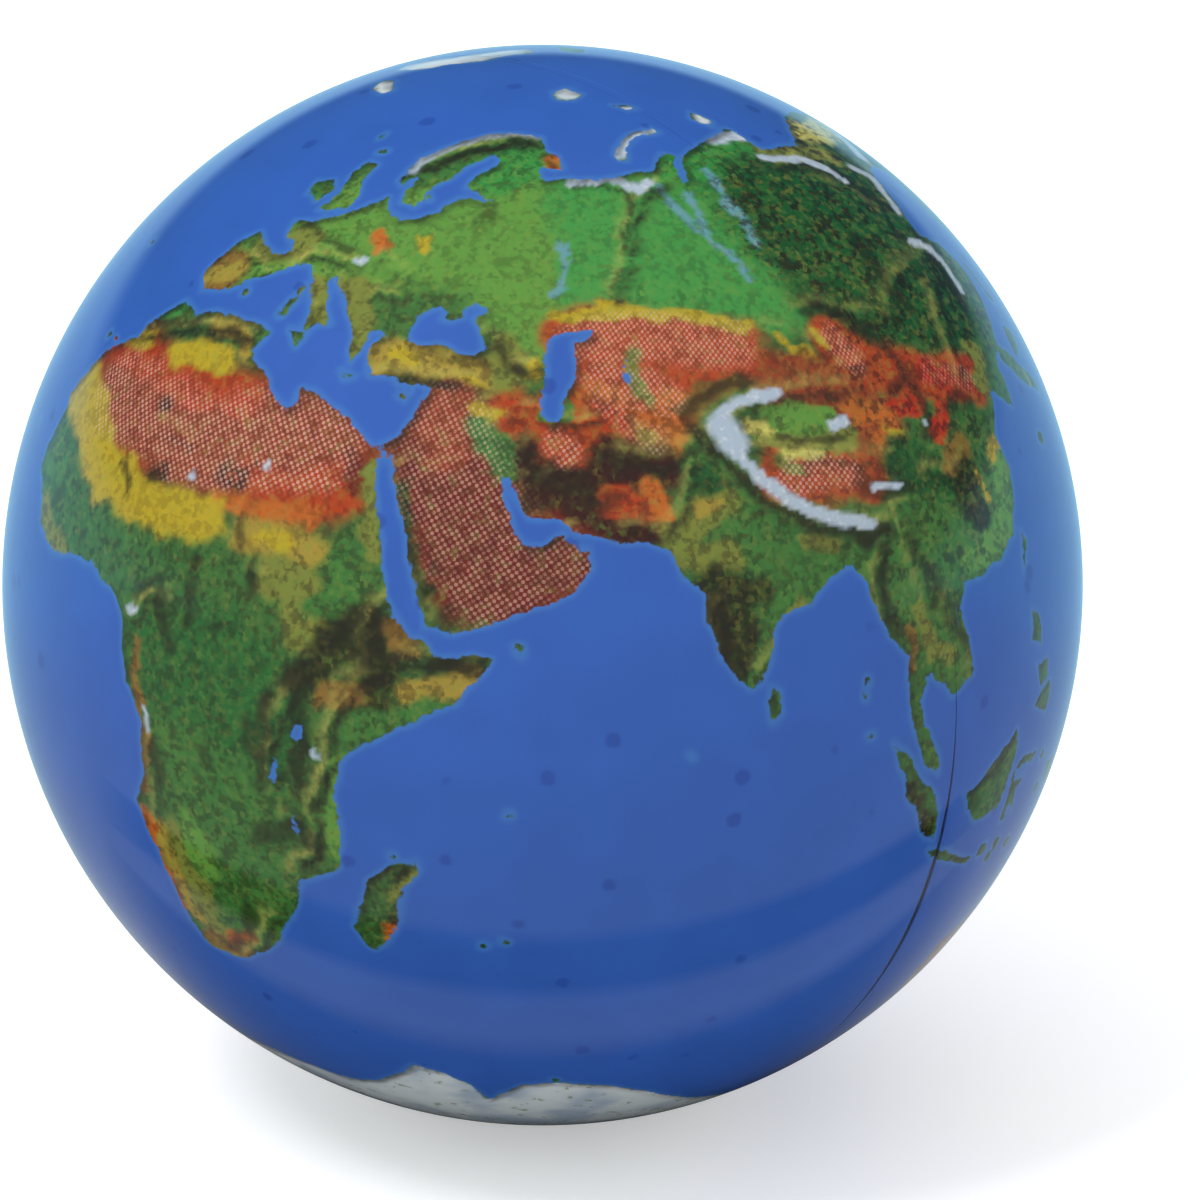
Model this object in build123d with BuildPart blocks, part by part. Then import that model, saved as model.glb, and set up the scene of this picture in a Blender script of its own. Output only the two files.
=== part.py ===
from build123d import *
import os

# Squeezable stress ball: a round foam core in a printed film, under a thick clear skin.
# Film and skin are each two half domes, joined in the plane X = 0 over a bonding band.
# The origin is the ball's centre, +X is the axis it is squeezed along, +Z is up.
# Sizes are in millimetres.

# Driving dimensions
ball_diameter = 63.5
skin_wall = 0.9
film_wall = 0.25
band_width = 6.0
band_wall = 0.3
lip_radius = 0.35  # rounded outer edge of each half skin, which makes the crease at the joint

# Clearances
bond_line = 0.02  # glue between two pieces that stay together
core_clearance = 0.1  # between the foam and the film that slides over it in a squeeze
skin_joint_gap = 0.06  # between the rims of the two half skins
film_joint_gap = 0.4  # between the rims of the two half films, where the band shows
groove_side_clearance = 0.1  # between the band's edges and the sides of its groove

# Radii, from the outside in
skin_outer_radius = ball_diameter / 2
skin_inner_radius = skin_outer_radius - skin_wall
film_outer_radius = skin_inner_radius - bond_line
film_inner_radius = film_outer_radius - film_wall
core_radius = film_inner_radius - core_clearance
band_inner_radius = core_radius - band_wall
groove_radius = band_inner_radius - bond_line


def ring_profile(outer_radius, inner_radius, low_x, high_x):
    """The part above the X axis of a ring about the origin, from low_x to high_x."""
    with BuildSketch(Plane.XY) as profile:
        Circle(outer_radius)
        Circle(inner_radius, mode=Mode.SUBTRACT)
        with Locations((low_x, 0)):
            Rectangle(
                high_x - low_x,
                outer_radius,
                align=(Align.MIN, Align.MIN),
                mode=Mode.INTERSECT,
            )
    return profile.sketch


# The foam ball, with a shallow groove around it that the bonding band lies in
groove_half_width = band_width / 2 + groove_side_clearance
with BuildPart() as foam_core:
    with BuildSketch(Plane.XY):
        Circle(core_radius)
        Rectangle(
            2 * core_radius, core_radius, align=(Align.CENTER, Align.MIN), mode=Mode.INTERSECT
        )
        add(
            ring_profile(
                skin_outer_radius, groove_radius, -groove_half_width, groove_half_width
            ),
            mode=Mode.SUBTRACT,
        )
    revolve(axis=Axis.X)

# The band that both half films are bonded to, flush with the foam
with BuildPart() as seam_band:
    add(ring_profile(core_radius, band_inner_radius, -band_width / 2, band_width / 2))
    revolve(axis=Axis.X)

# The printed film, in two half domes
with BuildPart() as map_film_east:
    add(
        ring_profile(
            film_outer_radius, film_inner_radius, film_joint_gap / 2, film_outer_radius
        )
    )
    revolve(axis=Axis.X)

with BuildPart() as map_film_west:
    mirror(map_film_east.part, about=Plane.YZ)

# The clear skin, in two half domes with rounded outer lips that meet in a crease
with BuildPart() as clear_skin_east:
    with BuildSketch(Plane.XY) as skin_profile:
        add(
            ring_profile(
                skin_outer_radius, skin_inner_radius, skin_joint_gap / 2, skin_outer_radius
            )
        )
        outer_lip = skin_profile.vertices().sort_by(Axis.Y)[-1]
        fillet(outer_lip, radius=lip_radius)
    revolve(axis=Axis.X)

with BuildPart() as clear_skin_west:
    mirror(clear_skin_east.part, about=Plane.YZ)

pieces = {
    "foam_core": foam_core,
    "seam_band": seam_band,
    "map_film_east": map_film_east,
    "map_film_west": map_film_west,
    "clear_skin_east": clear_skin_east,
    "clear_skin_west": clear_skin_west,
}

os.makedirs("parts", exist_ok=True)
for node, piece in pieces.items():
    piece.part.label = node
    export_step(piece.part, f"parts/{node}.step")
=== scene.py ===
"""The looks of a squeezable stress ball: a printed relief world map under a thick, clear, glossy skin.

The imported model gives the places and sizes. Metres, +Z up, +X is the axis the ball is squeezed along.
Lengths on the print are in millimetres where a name ends in _mm.
"""

import itertools

import bpy
import numpy as np
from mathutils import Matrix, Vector


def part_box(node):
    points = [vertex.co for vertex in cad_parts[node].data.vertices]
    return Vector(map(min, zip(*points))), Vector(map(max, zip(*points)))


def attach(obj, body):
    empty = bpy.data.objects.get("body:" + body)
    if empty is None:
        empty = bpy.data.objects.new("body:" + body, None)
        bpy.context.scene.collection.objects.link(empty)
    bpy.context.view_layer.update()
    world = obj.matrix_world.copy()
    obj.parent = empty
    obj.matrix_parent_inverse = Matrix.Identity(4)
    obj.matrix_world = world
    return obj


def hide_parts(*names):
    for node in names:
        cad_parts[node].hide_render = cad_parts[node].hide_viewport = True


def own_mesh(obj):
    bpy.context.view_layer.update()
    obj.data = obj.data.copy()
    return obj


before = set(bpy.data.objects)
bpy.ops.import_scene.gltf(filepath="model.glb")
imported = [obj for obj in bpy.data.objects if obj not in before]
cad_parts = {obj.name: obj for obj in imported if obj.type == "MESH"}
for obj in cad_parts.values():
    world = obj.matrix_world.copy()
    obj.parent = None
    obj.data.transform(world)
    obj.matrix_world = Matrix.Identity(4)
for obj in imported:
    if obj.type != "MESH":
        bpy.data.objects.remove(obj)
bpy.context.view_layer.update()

# ---------------------------------------------------------------- sizes, from the frame

SKIN_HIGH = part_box("clear_skin_east")[1]
FILM_LOW, FILM_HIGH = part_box("map_film_east")
BAND_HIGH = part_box("seam_band")[1]
CORE_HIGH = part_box("foam_core")[1]
BALL_RADIUS = SKIN_HIGH.x
FILM_RADIUS = FILM_HIGH.x
FILM_JOINT = FILM_LOW.x  # from the middle plane to the rim of a half film
BAND_RADIUS = BAND_HIGH.z
BAND_HALF_WIDTH = BAND_HIGH.x
CORE_RADIUS = CORE_HIGH.x
GROOVE_RADIUS = CORE_HIGH.z

BOND_LINE = 0.00002  # glue between the film and the skin
FILM_WALL = 0.00025
BAND_WALL = 0.0003
GROOVE_SIDE = 0.0001  # between the band's edges and the sides of its groove
SKIN_INNER_RADIUS = FILM_RADIUS + BOND_LINE
MM = 1000.0  # millimetres in a metre

# ---------------------------------------------------------------- where the print lies on the ball

FRONT_AZIMUTH = -48.0  # the side of the ball that faces the camera, in degrees
FRONT_ELEVATION = 20.0
FRONT_LON = 54.8  # the place on the map that is printed there
FRONT_LAT = 19.5
PRINT_ROLL = 10.4  # how far the print leans clockwise
PRINT_SAG = 4.6  # how far the print drops, in degrees, a quarter turn away from FRONT_LON


def unit(lon, lat):
    """Unit vectors towards longitudes and latitudes in degrees."""
    lon, lat = np.radians(lon), np.radians(lat)
    return np.stack([np.cos(lat) * np.cos(lon), np.cos(lat) * np.sin(lon), np.sin(lat)], axis=-1)


def view_axes(azimuth, elevation):
    """Right, up and towards the viewer, for a camera that looks along +Y at azimuth 0."""
    a, e = np.radians(azimuth), np.radians(elevation)
    towards = np.array([np.sin(a) * np.cos(e), -np.cos(a) * np.cos(e), np.sin(e)])
    right = np.array([np.cos(a), np.sin(a), 0.0])
    return right, np.cross(towards, right), towards


def map_axes():
    """The same three directions of the front view, in the map's own globe."""
    front = unit(FRONT_LON, FRONT_LAT)
    east = unit(FRONT_LON + 90, 0.0)
    north = np.cross(front, east)
    c, s = np.cos(np.radians(PRINT_ROLL)), np.sin(np.radians(PRINT_ROLL))
    return east * c + north * s, north * c - east * s, front


BALL_TO_MAP = np.array(map_axes()).T @ np.array(view_axes(FRONT_AZIMUTH, FRONT_ELEVATION))


def sag(lon, lat):
    """How far south the print has dropped at a place, in degrees."""
    turn = 1 - np.cos(np.radians(lon - FRONT_LON))
    return PRINT_SAG * turn * np.cos(np.radians(lat))


def map_place(ball_places):
    """Longitude and latitude on the map of points on the ball."""
    v = ball_places @ BALL_TO_MAP.T
    v = v / np.linalg.norm(v, axis=1, keepdims=True)
    lon = np.degrees(np.arctan2(v[:, 1], v[:, 0]))
    lat = np.degrees(np.arcsin(np.clip(v[:, 2], -1, 1)))
    return lon, np.clip(lat + sag(lon, lat), -90, 90)


# ---------------------------------------------------------------- the map: coasts, as (longitude, latitude)

AFRICA = [
    (-5.8, 35.8), (-2, 35.1), (1, 36.5), (5, 36.8), (9.8, 37.3), (11, 37), (10.3, 34.3), (11.5, 33.2),
    (15.2, 32.4), (16, 31.2), (19.2, 30.3), (20.2, 31.2), (20.2, 32.5), (21.8, 32.9), (23.6, 32.2),
    (27.5, 31), (31.4, 29.3), (33, 29), (33.5, 27), (34.6, 23.5), (36.6, 20), (38.5, 15), (42, 11.4),
    (43.4, 11.5), (45, 10.4), (48, 11), (51, 11.1), (50, 9), (48.3, 6), (46.3, 4.7), (43.5, 2.6),
    (41.3, 0.8), (38.8, -1.5), (37.6, -3.5), (37.3, -6.5), (38.5, -11), (38.7, -15.3), (36.5, -17.2),
    (34.6, -18.3), (34.6, -20.7), (33, -24), (31.5, -27.5), (29, -30.6), (27, -32), (23.5, -33),
    (20, -33), (18.5, -31), (17, -27.5), (15.5, -22.5), (13, -18), (12, -15.7), (13.5, -12),
    (13, -6.3), (10, -2.7), (8.4, 1), (7.5, 4), (5.6, 5.5), (2.7, 6.5), (0.5, 7.4), (-3.8, 6.7),
    (-9, 6.2), (-12, 7.3), (-13.3, 9), (-14.5, 10.5), (-16.7, 12.5), (-17.4, 14.7), (-16.3, 18),
    (-16.3, 20), (-17, 21), (-15.8, 24), (-14.5, 26.2), (-12.9, 27.9), (-10, 29.6), (-9.7, 31.5),
    (-8, 33.2),
]

EURASIA = [
    (33, 29.2), (34.8, 30.8), (35.5, 33.3), (36, 35.4), (36.4, 36.7), (34.5, 36.5), (32.5, 36.1),
    (30.6, 36.8), (29, 36.4), (27.4, 37), (26.4, 38.5), (26.2, 39.7), (27.5, 40.3), (26.2, 40.9),
    (24.6, 40.6), (24.6, 39.4), (25, 38), (24.5, 36.8), (23.4, 38), (22.8, 39.6), (21.3, 41),
    (19.5, 42.5), (18, 43.4), (16.3, 44.3), (15, 45.2), (14, 45), (14.5, 43.8), (16, 42.6), (18, 41),
    (18.8, 40), (17, 39.6), (16, 38), (15.4, 39.6), (14.2, 41), (12.8, 42.3), (12.2, 43.8),
    (9.7, 45), (7.4, 44.5), (5, 42.8), (3, 41.6), (1.7, 40.6), (0.2, 39.2), (-2, 38.2), (-4.6, 37.4),
    (-6.7, 39.2), (-6.7, 41.3), (-6.4, 43.6), (-4.4, 45.2), (-1.5, 45), (0.7, 44.7), (3.5, 44.7),
    (4.5, 45.7), (1.3, 47), (-0.3, 48.8), (3, 49.2), (5.5, 51), (7.4, 52.2), (9, 53.3), (10.5, 54.8),
    (11, 55.6), (12.4, 55), (13.5, 54.2), (16, 54), (19.4, 54.6), (22, 56), (22.3, 57.8), (23.5, 59),
    (28, 59.6), (30, 60), (25, 60.5), (22.5, 60.6), (22.3, 61.8), (23, 63.4), (24.6, 65.4),
    (22.5, 66), (21, 65.6), (19, 63), (18, 60.7), (16.8, 58.6), (17.6, 57), (17, 55.8), (14.5, 55.6),
    (13, 57), (12.5, 59), (11.6, 59.4), (11.2, 57.6), (9.6, 58), (8.4, 60), (7.6, 62), (9.5, 64.4),
    (13.8, 68), (19, 70), (22, 70.7), (28.4, 71), (32.2, 69.5), (36.8, 68.8), (40.4, 67), (38, 66.5),
    (35.2, 66.6), (34.2, 66), (36, 64.6), (38.5, 64.6), (41, 65.2), (44, 65.8), (47, 66.4),
    (50, 66.6), (55, 67.4), (60, 68.8), (62, 69), (65.7, 69.6), (66.8, 71.5), (68.5, 73), (72, 72.6),
    (73, 68.5), (75, 69), (75, 72.6), (80, 73.6), (86, 74.8), (92, 75.8), (100, 77), (108.5, 77.7),
    (110, 75.6), (112, 73.4), (118, 73), (124, 73.2), (131, 72.6), (138, 73.2), (144, 74.3),
    (156, 75), (167, 73.6), (175, 71), (182, 69.5), (190, 66.2), (182, 65.5), (177, 62.5),
    (170, 61), (163.5, 59.8), (162.5, 57), (157, 51), (156, 57), (162, 62.6), (158, 64.5),
    (152, 65.3), (144.5, 62.8), (138.5, 60), (136.5, 58), (139, 56.6), (142, 56), (143.3, 53.4),
    (142, 50.2), (138.4, 47), (135, 44.8), (130, 42.2), (129.2, 40.2), (128.5, 38.8), (124, 40.6),
    (122.6, 38.6), (120.2, 36.5), (121.5, 33), (120.4, 30), (118.5, 26.3), (114.5, 24), (111.4, 23),
    (107.4, 22), (106.3, 19.6), (107.6, 16.3), (108.5, 13), (105.2, 10.6), (103.6, 12),
    (100.7, 13.6), (100.4, 10.5), (101, 8), (102, 7), (103.7, 4.8), (104.3, 2.5), (102, 3.3),
    (100.5, 5.8), (99.2, 8.5), (98.8, 10.5), (98.2, 13), (97.7, 15.6), (95.4, 17.5), (93.6, 20.2),
    (92.5, 23.2), (90.2, 24.6), (87, 23), (84.8, 20.4), (81.6, 19), (80.6, 17.6), (80.6, 15),
    (80, 12.4), (78.6, 11.7), (77, 12.6), (74.7, 15), (73.2, 18.2), (72.4, 21), (70, 22.4),
    (68.5, 24.6), (67.2, 25.2), (65, 25.4), (61, 25), (57.7, 25.2), (56.6, 26), (55.3, 26.5),
    (53.8, 26.2), (52, 26), (51, 27), (49.6, 28.8), (48.5, 29.8), (48, 29.4), (49.3, 26.6),
    (50.7, 24.2), (52, 22.9), (54.2, 23.2), (55.6, 24.5), (56.4, 25), (56.6, 24.3), (58.8, 23.6),
    (59.6, 22.4), (58.5, 20.3), (57.7, 18.9), (55.3, 17.4), (52, 15.6), (48.5, 14), (45.5, 12.9),
    (43.4, 12.9), (42.6, 14.8), (41.8, 16.7), (39.2, 20.8), (37, 25), (35.6, 27.5), (34.6, 28.8),
    (34, 28.4),
]

NORTH_AMERICA = [
    (-168, 65.7), (-162, 66.6), (-166.5, 68.3), (-156.6, 71.3), (-141, 69.7), (-128, 70.3),
    (-115, 68.3), (-108, 68), (-97, 68.5), (-94, 71.9), (-87, 68), (-81.5, 69), (-86, 66.3),
    (-94, 61), (-92.5, 57), (-82.3, 55.2), (-82, 52.8), (-79.5, 51.5), (-79, 54.6), (-76.6, 57),
    (-78.4, 60.5), (-77.5, 62.5), (-72, 61.5), (-69.5, 59), (-65, 60.2), (-61.5, 56.5), (-56, 52.5),
    (-60, 50.2), (-66.5, 50.1), (-71, 46.9), (-65, 48.5), (-64.5, 46), (-61, 45.5), (-65.7, 43.5),
    (-67, 44.8), (-70.5, 43), (-70, 41.6), (-74, 40.5), (-75.3, 37.8), (-76, 35), (-81, 31.8),
    (-80.2, 26), (-81.1, 25.2), (-82.8, 28), (-84.2, 30), (-89.5, 30), (-94, 29.5), (-97.3, 27.5),
    (-97.6, 22.5), (-96, 19), (-92, 18.5), (-90.5, 21), (-87, 21.3), (-88, 16), (-83.5, 15),
    (-83.7, 10.8), (-81, 8.8), (-79.5, 9.5), (-77, 8.6), (-77.8, 7.1), (-80.4, 7.4), (-83.5, 8.5),
    (-85.8, 10.5), (-88, 13), (-92.5, 14.5), (-96, 15.8), (-101.8, 17.7), (-105.5, 20.3),
    (-105.8, 22.6), (-109.4, 26), (-112.8, 30), (-114.7, 31.7), (-113, 28.5), (-109.5, 23.1),
    (-112.2, 25.5), (-115, 28), (-117.2, 32.8), (-120.6, 34.6), (-124.3, 40.3), (-124.2, 46),
    (-123, 48.5), (-128, 51), (-131.5, 55), (-138, 59), (-148, 60.8), (-154, 58), (-164, 54.7),
    (-158, 57.8), (-162, 59.8), (-165.5, 61.5), (-161, 64.5),
]

SOUTH_AMERICA = [
    (-77.5, 8.7), (-75.5, 10.6), (-72, 12.2), (-70, 11.7), (-66, 10.6), (-61.8, 10.7), (-59, 8.2),
    (-54, 5.8), (-50.5, 2), (-50, 0), (-48, -0.8), (-44, -2.5), (-39.5, -3), (-35.3, -5.2),
    (-34.8, -8), (-38.5, -13), (-39.2, -17.5), (-41, -22), (-45, -23.5), (-48.5, -26),
    (-49.8, -29.5), (-53.5, -33.7), (-58.3, -34.3), (-57, -37), (-62.2, -39), (-65, -41),
    (-63.6, -42.5), (-67.5, -46), (-66, -48), (-69.2, -51), (-68.3, -52.5), (-65.2, -54.7),
    (-70, -55.5), (-74.5, -51), (-75.5, -47), (-72.8, -42.3), (-73.5, -38), (-71.5, -32),
    (-70.3, -25), (-70.4, -18.5), (-76.2, -13.8), (-79.8, -7.2), (-81.3, -4.5), (-80.5, -2),
    (-79.9, 0.8), (-77.3, 3.8), (-77.8, 7),
]

AUSTRALIA = [
    (122, -22), (124.8, -20.6), (127.5, -20), (130.2, -18), (132, -16.3), (135, -14), (137.5, -14.9),
    (139, -12.2), (143.5, -12), (144.8, -12.3), (143.6, -15), (147.2, -17.5), (149, -16),
    (149.7, -12.6), (150.6, -10.8), (151.8, -14.3), (153.4, -15), (154.3, -19), (157.5, -22),
    (161, -25.3), (161.5, -28.5), (159.5, -33.3), (158, -37.3), (154.5, -39), (151.5, -38.8),
    (148, -37.5), (146, -35.6), (145.8, -33), (143.9, -34.8), (139.2, -31.5), (134, -32.3),
    (131.6, -34), (127.8, -34), (126, -35.1), (123.1, -34.3), (123.7, -31.8), (121.6, -26.5),
    (121.4, -24),
]

# The ice round the south pole. The print draws it much further north than it really lies.
SOUTH_ICE = [
    (-180, -64), (-150, -62), (-120, -60), (-90, -58), (-70, -52), (-60, -48), (-52, -55),
    (-30, -60), (0, -56), (20, -54), (38, -54), (44, -50.5), (49, -44.5), (54, -45), (58, -47),
    (61, -51), (65, -45), (70, -43.5), (78, -43.5), (86, -45), (95, -48), (110, -50), (130, -52),
    (150, -54), (165, -57), (172, -62), (180, -64),
]

BRITAIN = [(2, 51), (1.6, 53), (-0.3, 55.7), (-1, 58.4), (1.4, 58.6), (3.2, 56.6), (5.6, 54), (6, 52.4)]
IRELAND = [(-4, 52), (-5, 53.7), (-2.6, 54.7), (-0.3, 53.4), (-0.5, 52)]
ICELAND = [(-38, 64.4), (-41, 65.2), (-38, 66.4), (-30, 66), (-30, 64.8)]
NOVAYA_ZEMLYA = [
    (52, 71.3), (55, 70.7), (57.3, 70.8), (56, 73), (61, 75.3), (68.5, 76.6), (66, 77), (57.5, 75.4),
    (53.5, 73),
]
SVALBARD = [(5.5, 79.5), (6, 81), (19, 81.4), (21, 79.4), (14.7, 78.5)]
SEVERNAYA_ZEMLYA = [(95, 79.2), (98, 81), (105, 79.3), (100, 78.2)]
FRANZ_JOSEF_LAND = [(45, 80.5), (55, 81.3), (62, 81), (55, 80.2)]
GREENLAND = [
    (-73, 77), (-67, 78.6), (-56.5, 76.8), (-48, 75), (-46, 72.5), (-44.5, 70), (-46, 68), (-50, 66),
    (-55, 66.5), (-56, 70), (-60, 74), (-68, 75.5),
]
ICY_ISLANDS = [ICELAND, SVALBARD, SEVERNAYA_ZEMLYA, FRANZ_JOSEF_LAND, GREENLAND]

ISLANDS = [
    BRITAIN, IRELAND, NOVAYA_ZEMLYA, *ICY_ISLANDS,
    [(14, 38), (16.5, 38.2), (16.2, 36.8), (15, 37.2)],
    [(10.6, 41), (11.9, 41), (11.8, 39.2), (10.8, 39)],
    [(11, 42.5), (11.7, 43), (11.7, 41.5), (11.1, 41.6)],
    [(23.6, 35.6), (26.2, 35.3), (24.7, 34.8)],
    [(32.4, 34.9), (34, 35.4), (33.6, 34.6)],
    [(47.3, -13), (46.3, -16), (46, -19.5), (45.2, -23), (43.4, -25), (41, -22.5), (41.7, -18.5),
     (42, -16), (44.3, -13.5), (46.8, -12)],
    [(81, 11.9), (82, 11.2), (82.5, 9.2), (81.4, 8.6), (80.6, 10.2)],
    [(96.7, 6.4), (98.5, 5.2), (101, 2.5), (104, 0.3), (105.7, -2.5), (106.3, -5.3), (104.2, -4.4),
     (101.5, -1), (98.6, 3)],
    [(106.2, -6.4), (109.5, -7.3), (115.4, -9.2), (115, -10), (107.2, -7.7)],
    [(110, -0.5), (112.5, 0.7), (116, 3.6), (118.5, 5.6), (119.3, 2.6), (118.3, -1), (117.5, -3.4),
     (114, -4.3), (111, -2.7)],
    [(119.5, -5.5), (120.4, -5.5), (120.3, -2.9), (122.5, -4.7), (121.5, -1.9), (123.3, -0.9),
     (120.6, -1), (120.2, 0.4), (124.5, 0.5), (125.2, 1.6), (121, 1.3), (119.8, 0.3), (119.3, -3.3)],
    [(131, -0.8), (134.2, -0.9), (135, -3.3), (138, -1.7), (144.5, -3.9), (147.8, -6.2),
     (150.8, -10.5), (147, -9.2), (143.2, -9.1), (138, -8.2), (137.8, -5), (133, -4), (132, -2.8)],
    [(120.6, 18), (122.4, 17.2), (122.9, 14.2), (120.4, 15)],
    [(122, 7.5), (123.8, 8.7), (126.3, 9.5), (126, 6.3), (124, 6.5)],
    [(122, 11.8), (125, 12.3), (125.2, 10.2), (123, 9.3)],
    [(120.2, 26.2), (121.4, 25), (120, 22.4)],
    [(133.6, 45), (137.3, 42.3), (142.5, 39), (143.5, 37.2), (138.2, 39), (133, 42.5)],
    [(140, 42), (140.3, 43.3), (141.8, 45.4), (145.3, 43.8), (143.3, 42)],
    [(145.5, 54.2), (146.7, 52), (146.8, 49.3), (146.2, 46.6), (145.5, 47.5), (145.5, 51)],
    [(152.7, -40.8), (156.3, -40.9), (155.5, -43.3), (154, -43.5)],
    [(172.8, -34.5), (175.5, -36.8), (178.5, -37.7), (177, -39.5), (175.2, -41.5), (174, -39.4),
     (174.8, -37.5)],
    [(172.7, -40.6), (174.2, -41.8), (171, -44.2), (170.6, -45.9), (168.4, -46.6), (166.6, -45.9),
     (170.5, -43)],
    [(-81, 73.7), (-68, 70.3), (-62, 66.8), (-65, 62.5), (-72, 64), (-77, 65), (-73, 67.5),
     (-86, 70), (-89, 72.5)],
    [(-117, 73), (-105, 73), (-102, 69.5), (-114, 69.2)],
    [(-90, 76.8), (-80, 79.5), (-85, 82), (-95, 79.5)],
    [(-125, 72), (-121, 74.3), (-118, 73), (-123, 71.3)],
    [(-59.2, 47.8), (-56, 51.5), (-53, 47.5)],
    [(-84.8, 22), (-80, 23.1), (-74.3, 20.3), (-78, 19.9), (-82, 22.3)],
    [(-74.3, 19.8), (-68.5, 18.6), (-71.5, 17.8), (-74, 18.3)],
]


# Specks of land: longitude, latitude and radius in degrees
ISLETS = [
    (53.8, 12.5, 0.45), (57.6, -20.2, 0.35), (55.5, -21.1, 0.4), (44.3, -12.2, 0.35),
    (92.8, 12.6, 0.4), (92.6, 11.2, 0.35), (93.7, 7.3, 0.35), (73.4, 4.2, 0.25), (55.5, -4.6, 0.3),
    (69.5, -43, 0.5), (-16.3, 28.3, 0.5), (-14, 28.5, 0.4), (-23.8, 15.5, 0.4), (-25.5, 37.8, 0.4),
    (3, 39.6, 0.45), (28, 36.3, 0.35), (26.3, 39.1, 0.3), (-155.5, 19.6, 0.8), (-157.5, 21, 0.4),
    (178, -17.8, 0.8), (165.5, -21.3, 0.9), (167, -15.5, 0.6), (160, -9.5, 0.9), (-61.3, 15, 0.4),
    (-66.3, 18.2, 0.7), (-77.3, 18.1, 0.7), (-91, -0.5, 0.6), (-59, -51.7, 1.2), (127.8, 0.7, 0.7),
    (129.5, -3.2, 0.8), (125, -9, 0.9), (120, -9.8, 0.7), (117.5, -8.6, 0.8), (121, -8.6, 0.7),
    (134, 33.7, 0.8), (18.6, 57.5, 0.4), (-7, 62, 0.35), (-1.3, 60.3, 0.4),
]

LAKES = [
    [(30.2, 40.8), (30, 42.4), (30.8, 44.5), (32.4, 45.6), (34, 45.2), (33.8, 44.4), (35.3, 44.6),
     (36.6, 45.2), (36, 46.2), (38, 46.9), (39.4, 46.6), (38, 45.2), (39.5, 43.8), (41.3, 42),
     (40, 41.2), (37.5, 41), (34.5, 41.5), (32, 40.9)],
    [(49.5, 45), (51, 45.7), (53, 46.3), (55.6, 46.9), (55.4, 45.7), (53.4, 45), (53.3, 43), (54, 41),
     (53.6, 38.4), (53.8, 37), (52.5, 36.2), (50.7, 37), (50, 39), (50, 41), (49, 43)],
    [(60.8, 44.2), (62, 42.4), (61.7, 41.2), (60.9, 42.5)],
    [(31.7, -1), (32.3, -0.2), (33, -0.4), (33, -2.2), (32, -2)],
    [(30.4, -4.8), (31, -5.4), (30.8, -7.8), (30.2, -7.4)],
    [(33.2, -10.2), (33.8, -11), (33.9, -13.2), (33.2, -12.6)],
    [(-92, 46.8), (-88.5, 48.8), (-84.8, 46.6), (-87.5, 46.4)],
    [(-87.8, 42), (-86.8, 45.5), (-84.8, 45.8), (-83.5, 45.8), (-80, 44.6), (-82, 43.2),
     (-83.8, 44.2), (-86.2, 42)],
    [(-83, 42), (-79, 42.9), (-78.9, 43.4), (-76.5, 43.6), (-77, 43.9), (-81, 42.8)],
    [(-117, 62), (-110, 62.8), (-113.5, 61)],
    [(-124, 66), (-118.5, 66.6), (-121, 65)],
]

# ---------------------------------------------------------------- the map: mountains

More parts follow.
